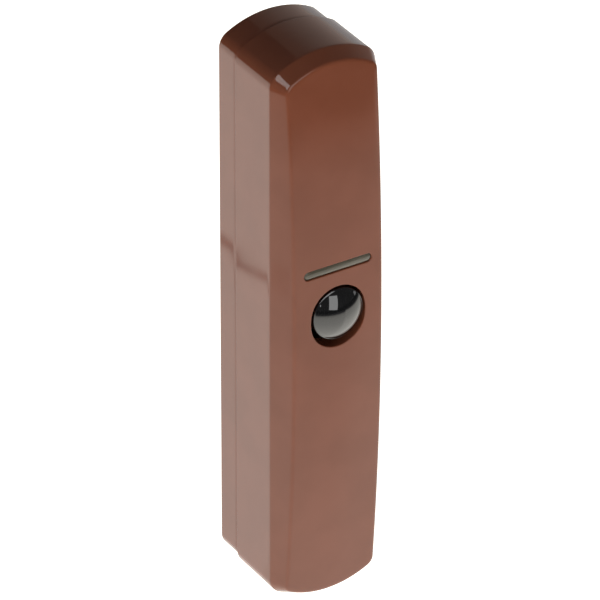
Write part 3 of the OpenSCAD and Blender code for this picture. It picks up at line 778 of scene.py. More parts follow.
sleeve_low, sleeve_high = corners("battery_sleeve")
cell_low, cell_high = corners("battery_cell")
cell_mid = (cell_low + cell_high) / 2
cell_axis_d = -cell_mid[1]
pin_low, pin_high = corners("tamper_plunger")
pin_mid = (pin_low + pin_high) / 2
wall_slots = (54, -38)
wall_slot_r = 1.8
wall_slot_run = 1.7
pin_hole_r = 1.33
rear_base = weld("rear_base_tray", [base_rings()], housing_look)
cut(rear_base, [round_bar(wall_slot_r, wall_slot_run, 0.0, z, floor_t + past) for z in wall_slots]
    + [round_bar(pin_hole_r, 0, pin_mid[0], pin_mid[2], floor_t + past)])
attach(rear_base, "base")
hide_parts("rear_base")
saddle_mid = cell_mid[2] + 0.5
saddle_step = 10.5
fittings = [saddle(saddle_mid - saddle_step), saddle(saddle_mid + saddle_step)]
heads_low, heads_high = corners("board_screws")
head_r = 1.9
seats = ((2.5, heads_high[2] - head_r), (0.0, heads_low[2] + head_r))
post_r = 2.4
post_bore_r = 1.0
post_top = -corners("main_board")[1][1]
bore_end = -heads_high[1]
post_profile = [(0, root_d), (post_r + 0.15, root_d), (post_r + 0.05, floor_t + 0.4),
                (post_r, post_top - 0.1), (post_r - 0.1, post_top), (post_bore_r, post_top),
                (post_bore_r, bore_end), (0, bore_end)]
fittings += [lathe(post_profile, (x, 0, z), sides=40) for x, z in seats]
contact_wall = 1.1
for node, side, gap in (("positive_contact", 1, 0.03), ("negative_contact", -1, 0.05)):
    low, high = corners(node)
    edge_z = (high[2] if side > 0 else low[2]) + side * gap
    fittings += block((low[0], -cell_axis_d, edge_z),
                      (high[0], -root_d, edge_z + side * contact_wall), 0.15)
base_fittings = weld("rear_base_posts_and_ribs", fittings, housing_look, 40)
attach(base_fittings, "base")
lug_bore_r = 1.0
lug_bore_end = 6.0
screw_lug = weld("rear_base_screw_lug", [lug()], housing_look, 40)
cut(screw_lug, [notch(lug_bore_r, -half_l + lug_bore_end)])
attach(screw_lug, "base")


# ---------------------------------------------------------------- Lens
# A dome of glossy black polyethylene that passes heat rays and hides the sensor, moulded in one
# with a round skirt that is pushed onto the sensor's holder.
def arc(middle, radius, start, end, steps=8):
    """Points of a round stretch of a profile, from one angle in degrees to another."""
    turn = np.radians(np.linspace(start, end, steps + 1))
    return list(zip(middle[0] + radius * np.cos(turn), middle[1] + radius * np.sin(turn)))


def lens_profile():
    """Skirt, rounded shoulder, ball cap to the pole, and back down inside the wall."""
    wall, shoulder = 0.6, 0.06
    top, foot = -lens_low[1], -lens_high[1]
    dome_h = 2.3
    ball = (lens_r ** 2 + dome_h ** 2) / (2 * dome_h)
    rim = math.degrees(math.asin((lens_r - shoulder) / ball))
    middle = top - ball
    outer = arc((0, middle), ball, 90 - rim, 90, 24)
    inner = arc((0, middle), ball - wall, 90, 92 - rim, 24)
    return ([(lens_r - wall, foot), (lens_r - 0.1, foot), (lens_r, foot + 0.1)]
            + [(lens_r, outer[0][1] - shoulder)] + arc((lens_r - shoulder, outer[0][1] - shoulder),
                                                       shoulder, 0, rim + 25, 4)
            + outer + inner + [(lens_r - wall, inner[-1][1]), (lens_r - wall, foot)])


def lens_black():
    """Black polyethylene with a wet gloss and the slightest waviness from the mould."""
    material, shader, place = start_material("lens_black")
    wave = place.noise(240, 2)
    relief = wave.bump(0.04, 0.00002)
    haze = place.noise(700, 3).step(0.5, 0.8)
    connect(shader, Base_Color=haze.mix((0.0035, 0.0035, 0.004, 1), (0.006, 0.006, 0.0065, 1)),
            Roughness=0.035 + haze * 0.02, Normal=relief, IOR=2.05)
    return material


lens = weld("lens_dome", [lathe(lens_profile(), (0, 0, lens_z), sides=96)], lens_black(), 50)
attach(lens, "base")
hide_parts("pir_lens")


# ---------------------------------------------------------------- Light guide
# A smoky clear bar, crowned across its face, that shows the indicator lamps through the slot.
# Its flange is clipped behind the cover's front wall, and a fin reaches down to the lamps.
def guide_bar():
    """Face of the bar as rings that shrink from its wall to its middle line while they rise in
    a shallow arc, which closes on that line; the wall runs back to the flange."""
    gap, crown, sink = 0.05, 0.36, 0.04
    x, z = slot_curve(-gap)
    run = (slot_l - slot_h) / 2
    near_x = np.clip(x, -run, run)
    back = -flange_y - 0.1
    shoulder = face_depth(slot_z) - sink - crown
    steps = [(0, back), (0, shoulder)]
    steps += [(1 - math.cos(t), shoulder + crown * math.sin(t))
              for t in np.linspace(0, math.pi / 2, 9)[1:]]
    rings = [lay(x * 0, back, z * 0 + slot_z)]
    for shrink, depth in steps:
        rings.append(lay(near_x + (x - near_x) * (1 - shrink), depth,
                         slot_z + (z - slot_z) * (1 - shrink)))
    return np.stack(rings)


def smoky_clear():
    """Grey tinted polycarbonate, cloudy enough to hide what lies behind it."""
    material, shader, place = start_material("smoky_polycarbonate")
    cloud = place.noise(400, 3, 0.5, (0.3, 1, 1))
    connect(shader, Base_Color=cloud.step(0.3, 0.7).mix((0.095, 0.085, 0.062, 1),
                                                        (0.14, 0.125, 0.098, 1)),
            Roughness=0.09 + cloud * 0.05, IOR=1.58, Transmission_Weight=0.25)
    return material


flange_y = guide_low[1] + 2.0
guide_flange_t = 1.0
fin_half = 4.5
guide_grids = [guide_bar()]
guide_grids += block((guide_low[0], flange_y, guide_low[2]),
                     (guide_high[0], flange_y + guide_flange_t, guide_high[2]), 0.12)
guide_grids += block((-fin_half, flange_y + 0.8, slot_z - slot_h / 2),
                     (fin_half, guide_high[1], slot_z + slot_h / 2), 0.15)
light_guide = weld("light_guide_bar", guide_grids, smoky_clear(), 40)
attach(light_guide, "cover")
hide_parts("light_guide")


# ---------------------------------------------------------------- Circuit board
# Green lacquered fibreglass with copper tracks under the lacquer, tinned pads where pieces are
# soldered, and domed joints round the leads that come through it.
def soften(node, width, material):
    """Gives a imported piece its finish, and rounds its edges with live modifiers."""
    piece = frame["nodes"][node]
    piece.data.materials.clear()
    piece.data.materials.append(material)
    merge = piece.modifiers.new("merge", "WELD")
    merge.merge_threshold = 1e-6
    edge = piece.modifiers.new("edge", "BEVEL")
    edge.width = width * MM
    edge.segments = 2
    edge.limit_method = "ANGLE"
    edge.angle_limit = math.radians(40)
    edge.use_clamp_overlap = True
    edge.harden_normals = True
    return piece


def moulded(name, colour, rough, change=0.12):
    """A small moulding: its colour, a faint cloudiness and a fine spark-eroded grain."""
    material, shader, place = start_material(name)
    cloud = place.noise(900, 2)
    grain = place.noise(7000, 2)
    darker = tuple(c * (1 - change) for c in colour[:3]) + (1,)
    relief = grain.bump(0.25, 0.00001)
    connect(shader, Base_Color=cloud.step(0.3, 0.7).mix(darker, colour),
            Roughness=rough + grain * 0.08, Normal=relief)
    return material


def metal(name, colour, rough, stretch=(1, 1, 1)):
    """A metal surface with drawing marks along one axis and a light tarnish in patches."""
    material, shader, place = start_material(name)
    drawn = place.noise(2600, 3, 0.6, stretch)
    patch = place.noise(420, 3).step(0.42, 0.75)
    tarnish = tuple(c * 0.72 for c in colour[:3]) + (1,)
    relief = drawn.bump(0.2, 0.000008)
    connect(shader, Base_Color=patch.mix(colour, tarnish), Metallic=1.0,
            Roughness=rough + drawn * 0.12 + patch * 0.08, Normal=relief)
    return material


def lacquered_board():
    """Green lacquer: tracks stand out as lighter lines where two cells of a pattern meet, over
    a weave of glass fibre; the lacquer is glossier on the copper."""
    material, shader, place = start_material("green_lacquer")
    nearest, second = (place.node("ShaderNodeTexVoronoi",
                                  {"feature": feature, "distance": "CHEBYCHEV"},
                                  {"Vector": place, "Scale": 520.0, "Randomness": 0.85})
                       for feature in ("F1", "F2"))
    track = 1.0 - (second - nearest).step(0.06, 0.16)
    weave = place.node("ShaderNodeTexWave", {"wave_type": "BANDS", "bands_direction": "Z"},
                       {"Vector": place, "Scale": 900.0, "Distortion": 1.5})
    ground = (weave * 0.35).mix((0.004, 0.050, 0.018, 1), (0.006, 0.075, 0.028, 1))
    colour = track.mix(ground, (0.022, 0.150, 0.055, 1))
    relief = track.bump(0.5, 0.00002)
    connect(shader, Base_Color=colour, Roughness=0.34 - track * 0.12, Normal=relief)
    return material


soften("main_board", 0.08, lacquered_board())
board_low, board_high = corners("main_board")
board_face = board_low[1]
tin_look = metal("tinned_copper", (0.62, 0.61, 0.58, 1), 0.22)


def joint_profile(wire, spread, height):
    """A solder joint's concave skirt up to a lead."""
    t = np.linspace(0, 1, 8)
    return list(zip(spread - (spread - wire) * t, height * t ** 2.2)) + [(0, height * 1.02)]


def joints(name, places):
    """Solder joints at (x, z, wire radius, spread, height), on the back of the board too."""
    grids = []
    for x, z, wire, spread, height in places:
        skirt = [(0, -0.02), (spread, -0.02)] + joint_profile(wire, spread, height)
        for depth, turn in ((board_face, 1), (board_high[1], -1)):
            grids.append(lathe([(r, h * turn) for r, h in skirt], (x, depth, z), sides=20))
    piece = weld(name, grids, tin_look, 60)
    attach(piece, "base")


antenna_low, antenna_high = corners("antenna_wire")
reed_low, reed_high = corners("reed_leads")
antenna_x = (antenna_low[0] + antenna_high[0]) / 2
antenna_foot = antenna_low[2] + 0.4
reed_x = (reed_low[0] + reed_high[0]) / 2
joints("solder_joints",
       [(antenna_x, antenna_foot, 0.4, 0.75, 0.45), (reed_x, reed_low[2] + 0.25, 0.25, 0.6, 0.35),
        (reed_x, reed_high[2] - 0.25, 0.25, 0.6, 0.35)])


def pads(name, rows, material):
    """Flat tinned pads from (x, z, width, height) on the board's front."""
    grids = []
    for x, z, w, h in rows:
        grids += block((x - w / 2, board_face - 0.04, z - h / 2),
                       (x + w / 2, board_face + 0.02, z + h / 2), 0.02)
    piece = weld(name, grids, material, 40)
    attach(piece, "base")


test_x = (-6.6, -4.9, 6.6, 7.6)
test_z = (-14.6, -12.9)
test_w = 0.9
pads("test_pads", [(x, z, test_w, test_w) for x in test_x for z in test_z], tin_look)


# ---------------------------------------------------------------- Controller chip
# A square package of black epoxy with a moulded pin-one dimple, and leads on all four sides
# that are bent down and out to their pads.
chip_look = moulded("black_epoxy", (0.018, 0.018, 0.020, 1), 0.42)
chip_low, chip_high = corners("microcontroller")
chip_mid = (chip_low + chip_high) / 2


def chip_body(low, high, draft):
    """Two tapered halves that meet at the leads: rings of a square with clipped corners, and a
    top that dips in a round dimple at one corner."""
    half = (high[0] - low[0]) / 2
    turn = full_turn(48)
    clipped = 1.36
    square = np.minimum(1 / np.maximum(np.abs(np.cos(turn)), np.abs(np.sin(turn))), clipped)
    thick = high[1] - low[1]
    rings = [(0, 0), (1 - draft, 0), (1, 0.5), (1 - draft, 1)]
    rings += [(f, 1) for f in np.linspace(0.93, 0, 26)]
    dimple_r, dimple_d = 0.5, 0.12
    grid = []
    for size, lift in rings:
        x = half * size * square * np.cos(turn)
        z = half * size * square * np.sin(turn)
        y = high[1] - thick * lift + 0 * x
        if lift == 1:
            far = np.hypot(x + half * 0.62, z - half * 0.62) / dimple_r
            y = y + dimple_d * np.clip(1 - far ** 4, 0, 1)
        grid.append(np.stack([(low[0] + high[0]) / 2 + x, y, (low[2] + high[2]) / 2 + z], -1))
    return np.stack(grid)


controller = weld("controller_chip", [chip_body(chip_low, chip_high, 0.05)], chip_look, 30)
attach(controller, "base")
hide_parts("microcontroller")


def strip(path, wide, thick):
    """A flat strip bent along a path in its own plane: a rounded section carried along it. The
    path holds (run, depth) points; the strip lies across them."""
    path = np.array(path, float)
    along = np.gradient(path, axis=0)
    along /= np.linalg.norm(along, axis=1, keepdims=True)
    normal = np.stack([-along[:, 1], along[:, 0]], -1)
    section = [(-1, -1), (1, -1), (1, 1), (-1, 1), (-1, -1)]
    rows = [np.stack([path[:, 0] + normal[:, 0] * thick / 2 * v,
                      path[:, 1] + normal[:, 1] * thick / 2 * v,
                      np.full(len(path), wide / 2 * u)], -1) for u, v in section]
    grid = np.stack(rows, 1)
    start = np.repeat(grid[:1].mean(1, keepdims=True), 5, 1)
    end = np.repeat(grid[-1:].mean(1, keepdims=True), 5, 1)
    return np.concatenate([start, grid, end])


lead_pitch, lead_count = 0.8, 8
lead_w, lead_t = 0.35, 0.15
lead_top, lead_bend, lead_out = 0.62, 0.16, 3.62
bent = [(3.35, lead_top), (lead_out, lead_top)]
bent += [(lead_out + lead_bend * math.sin(a), lead_top - lead_bend * (1 - math.cos(a)))
         for a in np.radians([30, 60, 80])]
bent += [(3.80, 0.30), (3.86, 0.16), (3.98, 0.10), (4.20, 0.10), (4.45, 0.10)]
lead = strip(bent, lead_w, lead_t)
leads = []
for side in range(4):
    turn = side * math.pi / 2
    for i in range(lead_count):
        across_x = (i - (lead_count - 1) / 2) * lead_pitch
        run, depth, wide = lead[..., 0], lead[..., 1], lead[..., 2] + across_x
        leads.append(np.stack([chip_mid[0] + run * math.cos(turn) - wide * math.sin(turn),
                               board_face - depth,
                               chip_mid[2] + run * math.sin(turn) + wide * math.cos(turn)], -1))
chip_leads = weld("controller_leads", leads, tin_look, 30)
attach(chip_leads, "base")
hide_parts("microcontroller_leads")


# ---------------------------------------------------------------- Radio module
# A small daughter board under a shield of tinned steel that is folded at its edges, with a
# shallow pressed panel and a grid of small vents in its top, drawn as discs of painted shade.
soften("radio_board", 0.06, lacquered_board())
shield_low, shield_high = corners("radio_shield")
shield_mid = (shield_low + shield_high) / 2


def shield_form():
    """The shield as rings of a square with round corners, from its foot, over a rounded fold, to
    a flat top with a shallow pressed panel. A ring is its half width and its height."""
    half = (shield_high[0] - shield_low[0]) / 2
    turn = full_turn(96)
    power = 9.0
    edge = (np.abs(np.cos(turn)) ** power + np.abs(np.sin(turn)) ** power) ** (-1 / power)
    tall = shield_high[1] - shield_low[1]
    fold = 0.3
    rings = [(0, 0), (half, 0), (half, tall - fold)]
    rings += [(half - fold * (1 - math.cos(a)), tall - fold * (1 - math.sin(a)))
              for a in np.radians([22, 45, 67, 90])]
    rings += [(half - 1.0, tall), (half - 1.15, tall - 0.08), (half - 1.3, tall - 0.1)]
    rings += [(half * f, tall - 0.1) for f in (0.5, 0.3, 0.1, 0)]
    return np.stack([np.stack([shield_mid[0] + r * edge * np.cos(turn),
                               shield_high[1] - h + 0 * turn,
                               shield_mid[2] + r * edge * np.sin(turn)], -1) for r, h in rings])


shield_look = metal("tinned_steel_sheet", (0.66, 0.66, 0.64, 1), 0.24, (0.1, 1, 1))
shield = weld("radio_shield_can", [shield_form()], shield_look, 30)
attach(shield, "base")
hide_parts("radio_shield")
# The vents are black discs on the shield's top, painted shade in place of the dark inside of real holes
vent_painted_shade = moulded("vent_shadow", (0.01, 0.01, 0.01, 1), 0.8)
vent_steps = (-2.4, -0.8, 0.8, 2.4)
vent_r = 0.36
vent_profile = [(0, 0.02), (vent_r - 0.04, 0.02), (vent_r, 0.0), (vent_r, -0.05), (0, -0.05)]
vents = [lathe(vent_profile, (shield_mid[0] + x, shield_low[1] + 0.09, shield_mid[2] + z), sides=16)
         for x in vent_steps for z in vent_steps]
shield_vents = weld("shield_vents", vents, vent_painted_shade, 40)
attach(shield_vents, "base")


# ---------------------------------------------------------------- Aerial wire
# A stiff copper wire with a gold finish, soldered at its foot, bent up and cut to length, with
# its end rounded so that it doesn't scratch the cover.
def tube(path, radius, across, sides=12):
    """A round wire along a path: a circle in the plane of the path's normal, which is the cross
    product of its direction and the across vector, with half-ball ends."""
    path = np.asarray(path, float)
    along = np.gradient(path, axis=0)
    along /= np.linalg.norm(along, axis=1, keepdims=True)
    first = np.cross(along, np.broadcast_to(across, along.shape))
    first /= np.linalg.norm(first, axis=1, keepdims=True)
    second = np.cross(along, first)
    caps = np.linspace(0, math.pi / 2, 5)
    reach = np.concatenate([-np.cos(caps)[:-1], np.zeros(len(path)), np.cos(caps)[::-1][1:]])
    size = np.concatenate([np.sin(caps)[:-1], np.ones(len(path)), np.sin(caps)[::-1][1:]])
    pick = np.concatenate([np.zeros(4, int), np.arange(len(path)), np.full(4, len(path) - 1)])
    centre = path[pick] + along[pick] * (reach * radius)[:, None]
    turn = full_turn(sides)
    ring = (first[pick][:, None] * np.cos(turn)[None, :, None]
            + second[pick][:, None] * np.sin(turn)[None, :, None])
    return centre[:, None] + ring * (radius * size)[:, None, None]


gold_look = metal("gold_flash", (0.83, 0.62, 0.27, 1), 0.2)
aerial_r, aerial_bend = 0.4, 1.2
aerial_d = antenna_low[1] + aerial_r
bend_turn = np.linspace(0, math.pi / 2, 9)
aerial_path = ([(antenna_x, antenna_high[1] - aerial_r, antenna_foot),
                (antenna_x, aerial_d + aerial_bend, antenna_foot)]
               + [(antenna_x, aerial_d + aerial_bend * (1 - math.sin(a)),
                   antenna_foot + aerial_bend * (1 - math.cos(a))) for a in bend_turn[1:]]
               + [(antenna_x, aerial_d, z)
                  for z in np.linspace(antenna_foot + 4, antenna_high[2] - aerial_r, 6)])
aerial = weld("aerial_wire", [tube(aerial_path, aerial_r, (1, 0, 0), 16)], gold_look, 60)
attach(aerial, "base")
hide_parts("antenna_wire")


# ---------------------------------------------------------------- Reed switch
# A sealed glass tube with rounded ends that holds two nickel-iron blades; their round ends come
# out through the glass, are bent down and soldered. The magnet on the door closes the blades.
glass_low, glass_high = corners("reed_glass")
glass_r = (glass_high[0] - glass_low[0]) / 2
glass_mid = (glass_low + glass_high) / 2
glass_half = (glass_high[2] - glass_low[2]) / 2


def ampoule():
    """Outer wall with ends drawn down to the leads, as a radius over the length."""
    turn = np.linspace(0, math.pi / 2, 10)
    tip = [(glass_r * math.sin(t), -glass_half + 1.3 * (1 - math.cos(t))) for t in turn]
    return tip + [(r, -h) for r, h in tip[::-1]]


def sealed_glass():
    """Greenish soda glass."""
    material, shader, place = start_material("green_glass")
    streak = place.noise(1200, 2, 0.5, (1, 1, 0.1))
    connect(shader, Base_Color=streak.mix((0.75, 0.92, 0.82, 1), (0.86, 0.97, 0.90, 1)),
            Roughness=0.02 + streak * 0.03, IOR=1.5, Transmission_Weight=1.0)
    return material


reed_tube = weld("reed_tube", [lathe(ampoule(), glass_mid, out=False, sides=32)],
                 sealed_glass(), 60)
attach(reed_tube, "base")
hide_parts("reed_glass")
reed_metal = metal("nickel_iron", (0.60, 0.58, 0.53, 1), 0.28, (1, 1, 0.1))
wire_r = 0.25
wire_bend = 0.8
reed_y = glass_mid[1]
blade_low, blade_high = corners("reed_blade")
wires = []
for end in (-1, 1):
    foot_z = reed_low[2] + wire_r if end < 0 else reed_high[2] - wire_r
    curve = [(reed_x, reed_high[1] - wire_r, foot_z), (reed_x, reed_y + wire_bend, foot_z)]
    curve += [(reed_x, reed_y + wire_bend * (1 - math.sin(a)),
               foot_z - end * wire_bend * (1 - math.cos(a))) for a in bend_turn[1:]]
    curve += [(reed_x, reed_y, z)
              for z in np.linspace(foot_z - end * 1.4, glass_mid[2] + end * 5.6, 4)]
    wires.append(tube(curve, wire_r, (1, 0, 0)))
wires += block((blade_low[0], 2 * reed_y - blade_high[1], glass_mid[2] - 5.4),
               (blade_high[0], 2 * reed_y - blade_low[1], glass_mid[2] + 0.6), 0.04)
reed_wires = weld("reed_wires", wires, reed_metal, 40)
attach(reed_wires, "base")
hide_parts("reed_leads")
reed_tongue = weld("reed_tongue", block(blade_low, blade_high, 0.04), reed_metal, 40)
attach(reed_tongue, "contact_blade")
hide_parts("reed_blade")


# ---------------------------------------------------------------- Reservoir capacitor
# An aluminium can with a rolled groove above its foot and a printed black quarter on top, on a
# square black foot with two clipped corners.
can_low, can_high = corners("reservoir_capacitor")
can_r = (can_high[0] - can_low[0]) / 2
can_mid = (can_low + can_high) / 2
can_tall = can_high[1] - can_low[1]


def printed_can():
    """Bare aluminium, turned marks round it, with a black segment on one side of the top."""
    material, shader, place = start_material("printed_can")
    chord, soft = -(can_mid[0] - can_r * 0.42) * MM, 0.00003
    segment = (place.axis(0) * -1.0).step(chord - soft, chord + soft)
    top = (place.axis(1) * -1.0).step((-can_low[1] - 0.12) * MM, (-can_low[1] - 0.06) * MM)
    ink = segment * top
    turned = place.noise(3000, 2, 0.5, (0.1, 1, 0.1))
    connect(shader, Base_Color=ink.mix((0.74, 0.74, 0.74, 1), (0.012, 0.012, 0.014, 1)),
            Metallic=1.0 - ink, Roughness=0.26 + turned * 0.12 + ink * 0.2)
    return material


can_profile = ([(0, 0), (can_r - 0.2, 0)] + arc((can_r - 0.2, 0.2), 0.2, -90, 0, 4)
               + [(can_r, 0.55)] + [(can_r - 0.2 * math.sin(a) ** 2, 0.55 + 0.6 * a / math.pi)
                                    for a in np.linspace(0, math.pi, 9)[1:]]
               + [(can_r, can_tall - 0.35)] + arc((can_r - 0.35, can_tall - 0.35), 0.35, 0, 90, 6)
               + [(can_r - 0.7, can_tall - 0.05), (0, can_tall - 0.05)])
capacitor = weld("capacitor_can", [lathe(can_profile, (can_mid[0], can_high[1], can_mid[2]))],
                 printed_can(), 35)
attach(capacitor, "base")
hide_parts("reservoir_capacitor")
foot_low, foot_high = corners("capacitor_base")


def prism(outline, low_d, high_d, soft):
    """An outline of (x, z) points, standing from one depth to another with rounded edges: rings
    that shrink toward the middle at each end."""
    outline = np.array(outline + outline[:1], float)
    middle = outline[:-1].mean(0)
    reach = outline - middle
    size = np.linalg.norm(reach, axis=1, keepdims=True)
    rings = [(None, low_d), (soft, low_d), (soft * 0.3, low_d + soft * 0.3), (0, low_d + soft),
             (0, high_d - soft), (soft * 0.3, high_d - soft * 0.3), (soft, high_d), (None, high_d)]
    grid = []
    for inset, depth in rings:
        flat = middle + (0 * reach if inset is None else reach * (1 - inset / size))
        grid.append(np.stack([flat[:, 0], np.full(len(flat), -depth), flat[:, 1]], -1))
    return np.stack(grid)


clip = 1.1
foot_outline = [(foot_low[0], foot_low[2]), (foot_high[0] - clip, foot_low[2]),
                (foot_high[0], foot_low[2] + clip), (foot_high[0], foot_high[2] - clip),
                (foot_high[0] - clip, foot_high[2]), (foot_low[0], foot_high[2])]
capacitor_foot = weld("capacitor_foot", [prism(foot_outline, -foot_high[1], -foot_low[1], 0.12)],
                      chip_look, 30)
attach(capacitor_foot, "base")
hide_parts("capacitor_base")


# ---------------------------------------------------------------- Small chips, crystal, lamps
# Chip capacitors and resistors with tinned ends, a crystal in a lidded ceramic tray, and two
# side-lit indicator lamps under clear resin.
def end_capped(node, body_name, cap_name, body_look, along):
    """Splits a node of small chips into bodies, and tinned ends a little larger all round. The
    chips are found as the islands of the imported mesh."""
    mesh = frame["nodes"][node].data
    points = np.empty(len(mesh.vertices) * 3)
    mesh.vertices.foreach_get("co", points)
    points = points.reshape(-1, 3) / MM
    keys = np.unique(np.round(points, 3), axis=0)
    pitch = keys[:, [0, 2]].round(2)
    chip_w, chip_l, end_l = 0.8, 1.6, 0.35
    size = np.array([chip_w, chip_l] if along == 2 else [chip_l, chip_w])
    starts = np.unique(pitch, axis=0)
    lows = np.array([p for p in starts if ((starts - p - size) ** 2).sum(1).min() < 1e-3
                     and ((starts - p - size * (1, 0)) ** 2).sum(1).min() < 1e-3])
    y_low, y_high = points[:, 1].min(), points[:, 1].max()
    bodies, caps = [], []
    for x, z in lows:
        low, high = np.array([x, y_low, z]), np.array([x + size[0], y_high, z + size[1]])
        inner_low, inner_high = low + 0.02, high - 0.02
        inner_high[1] = high[1]
        bodies += block(inner_low, inner_high, 0.05)
        near_high, far_low = high.copy(), low.copy()
        near_high[along] = low[along] + end_l
        far_low[along] = high[along] - end_l
        caps += block(low, near_high, 0.06) + block(far_low, high, 0.06)
    body = weld(body_name, bodies, body_look, 40)
    cap = weld(cap_name, caps, tin_look, 40)
    for piece in (body, cap):
        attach(piece, "base")
    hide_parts(node)
    return body


ceramic = end_capped("chip_capacitors", "chip_capacitor_bodies", "chip_capacitor_ends",
                     moulded("tan_ceramic", (0.42, 0.28, 0.15, 1), 0.4), 2)
resistive = end_capped("chip_resistors", "chip_resistor_bodies", "chip_resistor_ends",
                       moulded("resistor_glaze", (0.02, 0.02, 0.024, 1), 0.25), 0)
crystal_low, crystal_high = corners("crystal")
lid = 0.28
tray = weld("crystal_tray", block(crystal_low + (0, lid, 0), crystal_high, 0.08),
            moulded("dark_ceramic", (0.10, 0.09, 0.085, 1), 0.5), 40)
crystal_lid = weld("crystal_lid", block(crystal_low + (0.12, 0, 0.12),
                                        crystal_high - (0.12, 0.35, 0.12), 0.1), shield_look, 40)
for piece, slot_name in ((tray, "chip_epoxy"), (crystal_lid, "tinned_metal")):
    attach(piece, "base")
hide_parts("crystal")


def clear_resin():
    """Water-clear epoxy with a yellow phosphor cast."""
    material, shader, place = start_material("clear_resin")
    cast = place.noise(1500, 2)
    connect(shader, Base_Color=cast.mix((0.95, 0.85, 0.45, 1), (0.98, 0.93, 0.70, 1)),
            Roughness=0.08 + cast * 0.06, IOR=1.5, Transmission_Weight=0.5)
    return material


lamp_low, lamp_high = corners("indicator_leds")
lamp_l = 1.6
lamp_grids, lamp_ends = [], []
for side in (-1, 1):
    outer_x, inner_x = side * lamp_high[0], side * (lamp_high[0] - lamp_l)
    low = np.array([min(outer_x, inner_x), lamp_low[1], lamp_low[2]])
    high = np.array([max(outer_x, inner_x), lamp_high[1], lamp_high[2]])
    lamp_grids += block(low + (0.22, 0, 0.02), high - (0.22, 0, 0.02), 0.15)
    lamp_ends += block(low + (0, 0.35, 0), (low[0] + 0.3, high[1], high[2]), 0.04)
    lamp_ends += block((high[0] - 0.3, low[1] + 0.35, low[2]), high, 0.04)
lamps = weld("indicator_lamps", lamp_grids, clear_resin(), 40)
lamp_feet = weld("indicator_lamp_ends", lamp_ends, tin_look, 40)
for piece, slot_name in ((lamps, "led_clear"), (lamp_feet, "tinned_metal")):
    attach(piece, "base")
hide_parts("indicator_leds")


# ---------------------------------------------------------------- Learn button
# A tact switch: a black body under a pressed steel plate held by four heat-staked pegs, and a
# white key that stands out of the plate's round hole.
switch_black = moulded("switch_black", (0.030, 0.030, 0.032, 1), 0.45)
white_look = moulded("white_nylon", (0.72, 0.71, 0.67, 1), 0.38, 0.05)
learn_low, learn_high = corners("learn_switch")
learn_mid = (learn_low + learn_high) / 2
key_low, key_high = corners("learn_button")
key_r = (key_high[0] - key_low[0]) / 2
plate_t = 0.25


def holed_square(half, hole, low_d, high_d, x, z, soft=0.08):
    """A square plate with a round hole: rings from the hole's edge out to the square, over the
    rounded rim, back underneath to the hole, and through it."""
    turn = full_turn(64)
    edge = 1 / np.maximum(np.abs(np.cos(turn)), np.abs(np.sin(turn)))
    rings = [(0, 0, high_d - soft), (0, soft, high_d), (1, -soft, high_d), (1, 0, high_d - soft),
             (1, 0, low_d), (0, 0, low_d), (0, 0, high_d - soft)]
    grid = []
    for square, grow, depth in rings:
        r = (half * edge + grow) if square else (hole + grow + 0 * turn)
        grid.append(np.stack([x + r * np.cos(turn), np.full(turn.shape, -depth), z + r * np.sin(turn)], -1))
    return np.stack(grid)


learn_half = (learn_high[0] - learn_low[0]) / 2
body_top = -learn_low[1] - plate_t
learn_body = weld("learn_switch_body",
                  [holed_square(learn_half, key_r + 0.1, -learn_high[1], body_top, learn_mid[0],
                                learn_mid[2], 0.12)], switch_black, 30)
plate_grids = [holed_square(learn_half - 0.1, key_r + 0.08, body_top, body_top + plate_t,
                            learn_mid[0], learn_mid[2], 0.06)]
learn_plate = weld("learn_switch_plate", plate_grids, shield_look, 30)
peg_step = 1.75
peg_profile = [(0, -0.1), (0.34, -0.1), (0.36, 0.0), (0.30, 0.06), (0.18, 0.085), (0, 0.09)]
pegs = [lathe(peg_profile, (learn_mid[0] + x, learn_low[1], learn_mid[2] + z), sides=20)
        for x in (-peg_step, peg_step) for z in (-peg_step, peg_step)]
learn_pegs = weld("learn_switch_pegs", pegs, switch_black, 40)
key_tall = key_high[1] - key_low[1]
key_profile = ([(0, 0), (key_r, 0), (key_r, key_tall - 0.15)]
               + arc((key_r - 0.15, key_tall - 0.15), 0.15, 0, 90, 4)
               + [(key_r * 0.6, key_tall - 0.01), (key_r * 0.3, key_tall - 0.05),
                  (0, key_tall - 0.06)])
learn_key = weld("learn_key_cap", [lathe(key_profile, (learn_mid[0], key_high[1], learn_mid[2]),
                                         sides=40)], white_look, 35)
for piece, body in ((learn_body, "base"), (learn_plate, "base"), (learn_pegs, "base"),
                    (learn_key, "learn_key")):
    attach(piece, body)
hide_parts("learn_switch")
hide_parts("learn_button")


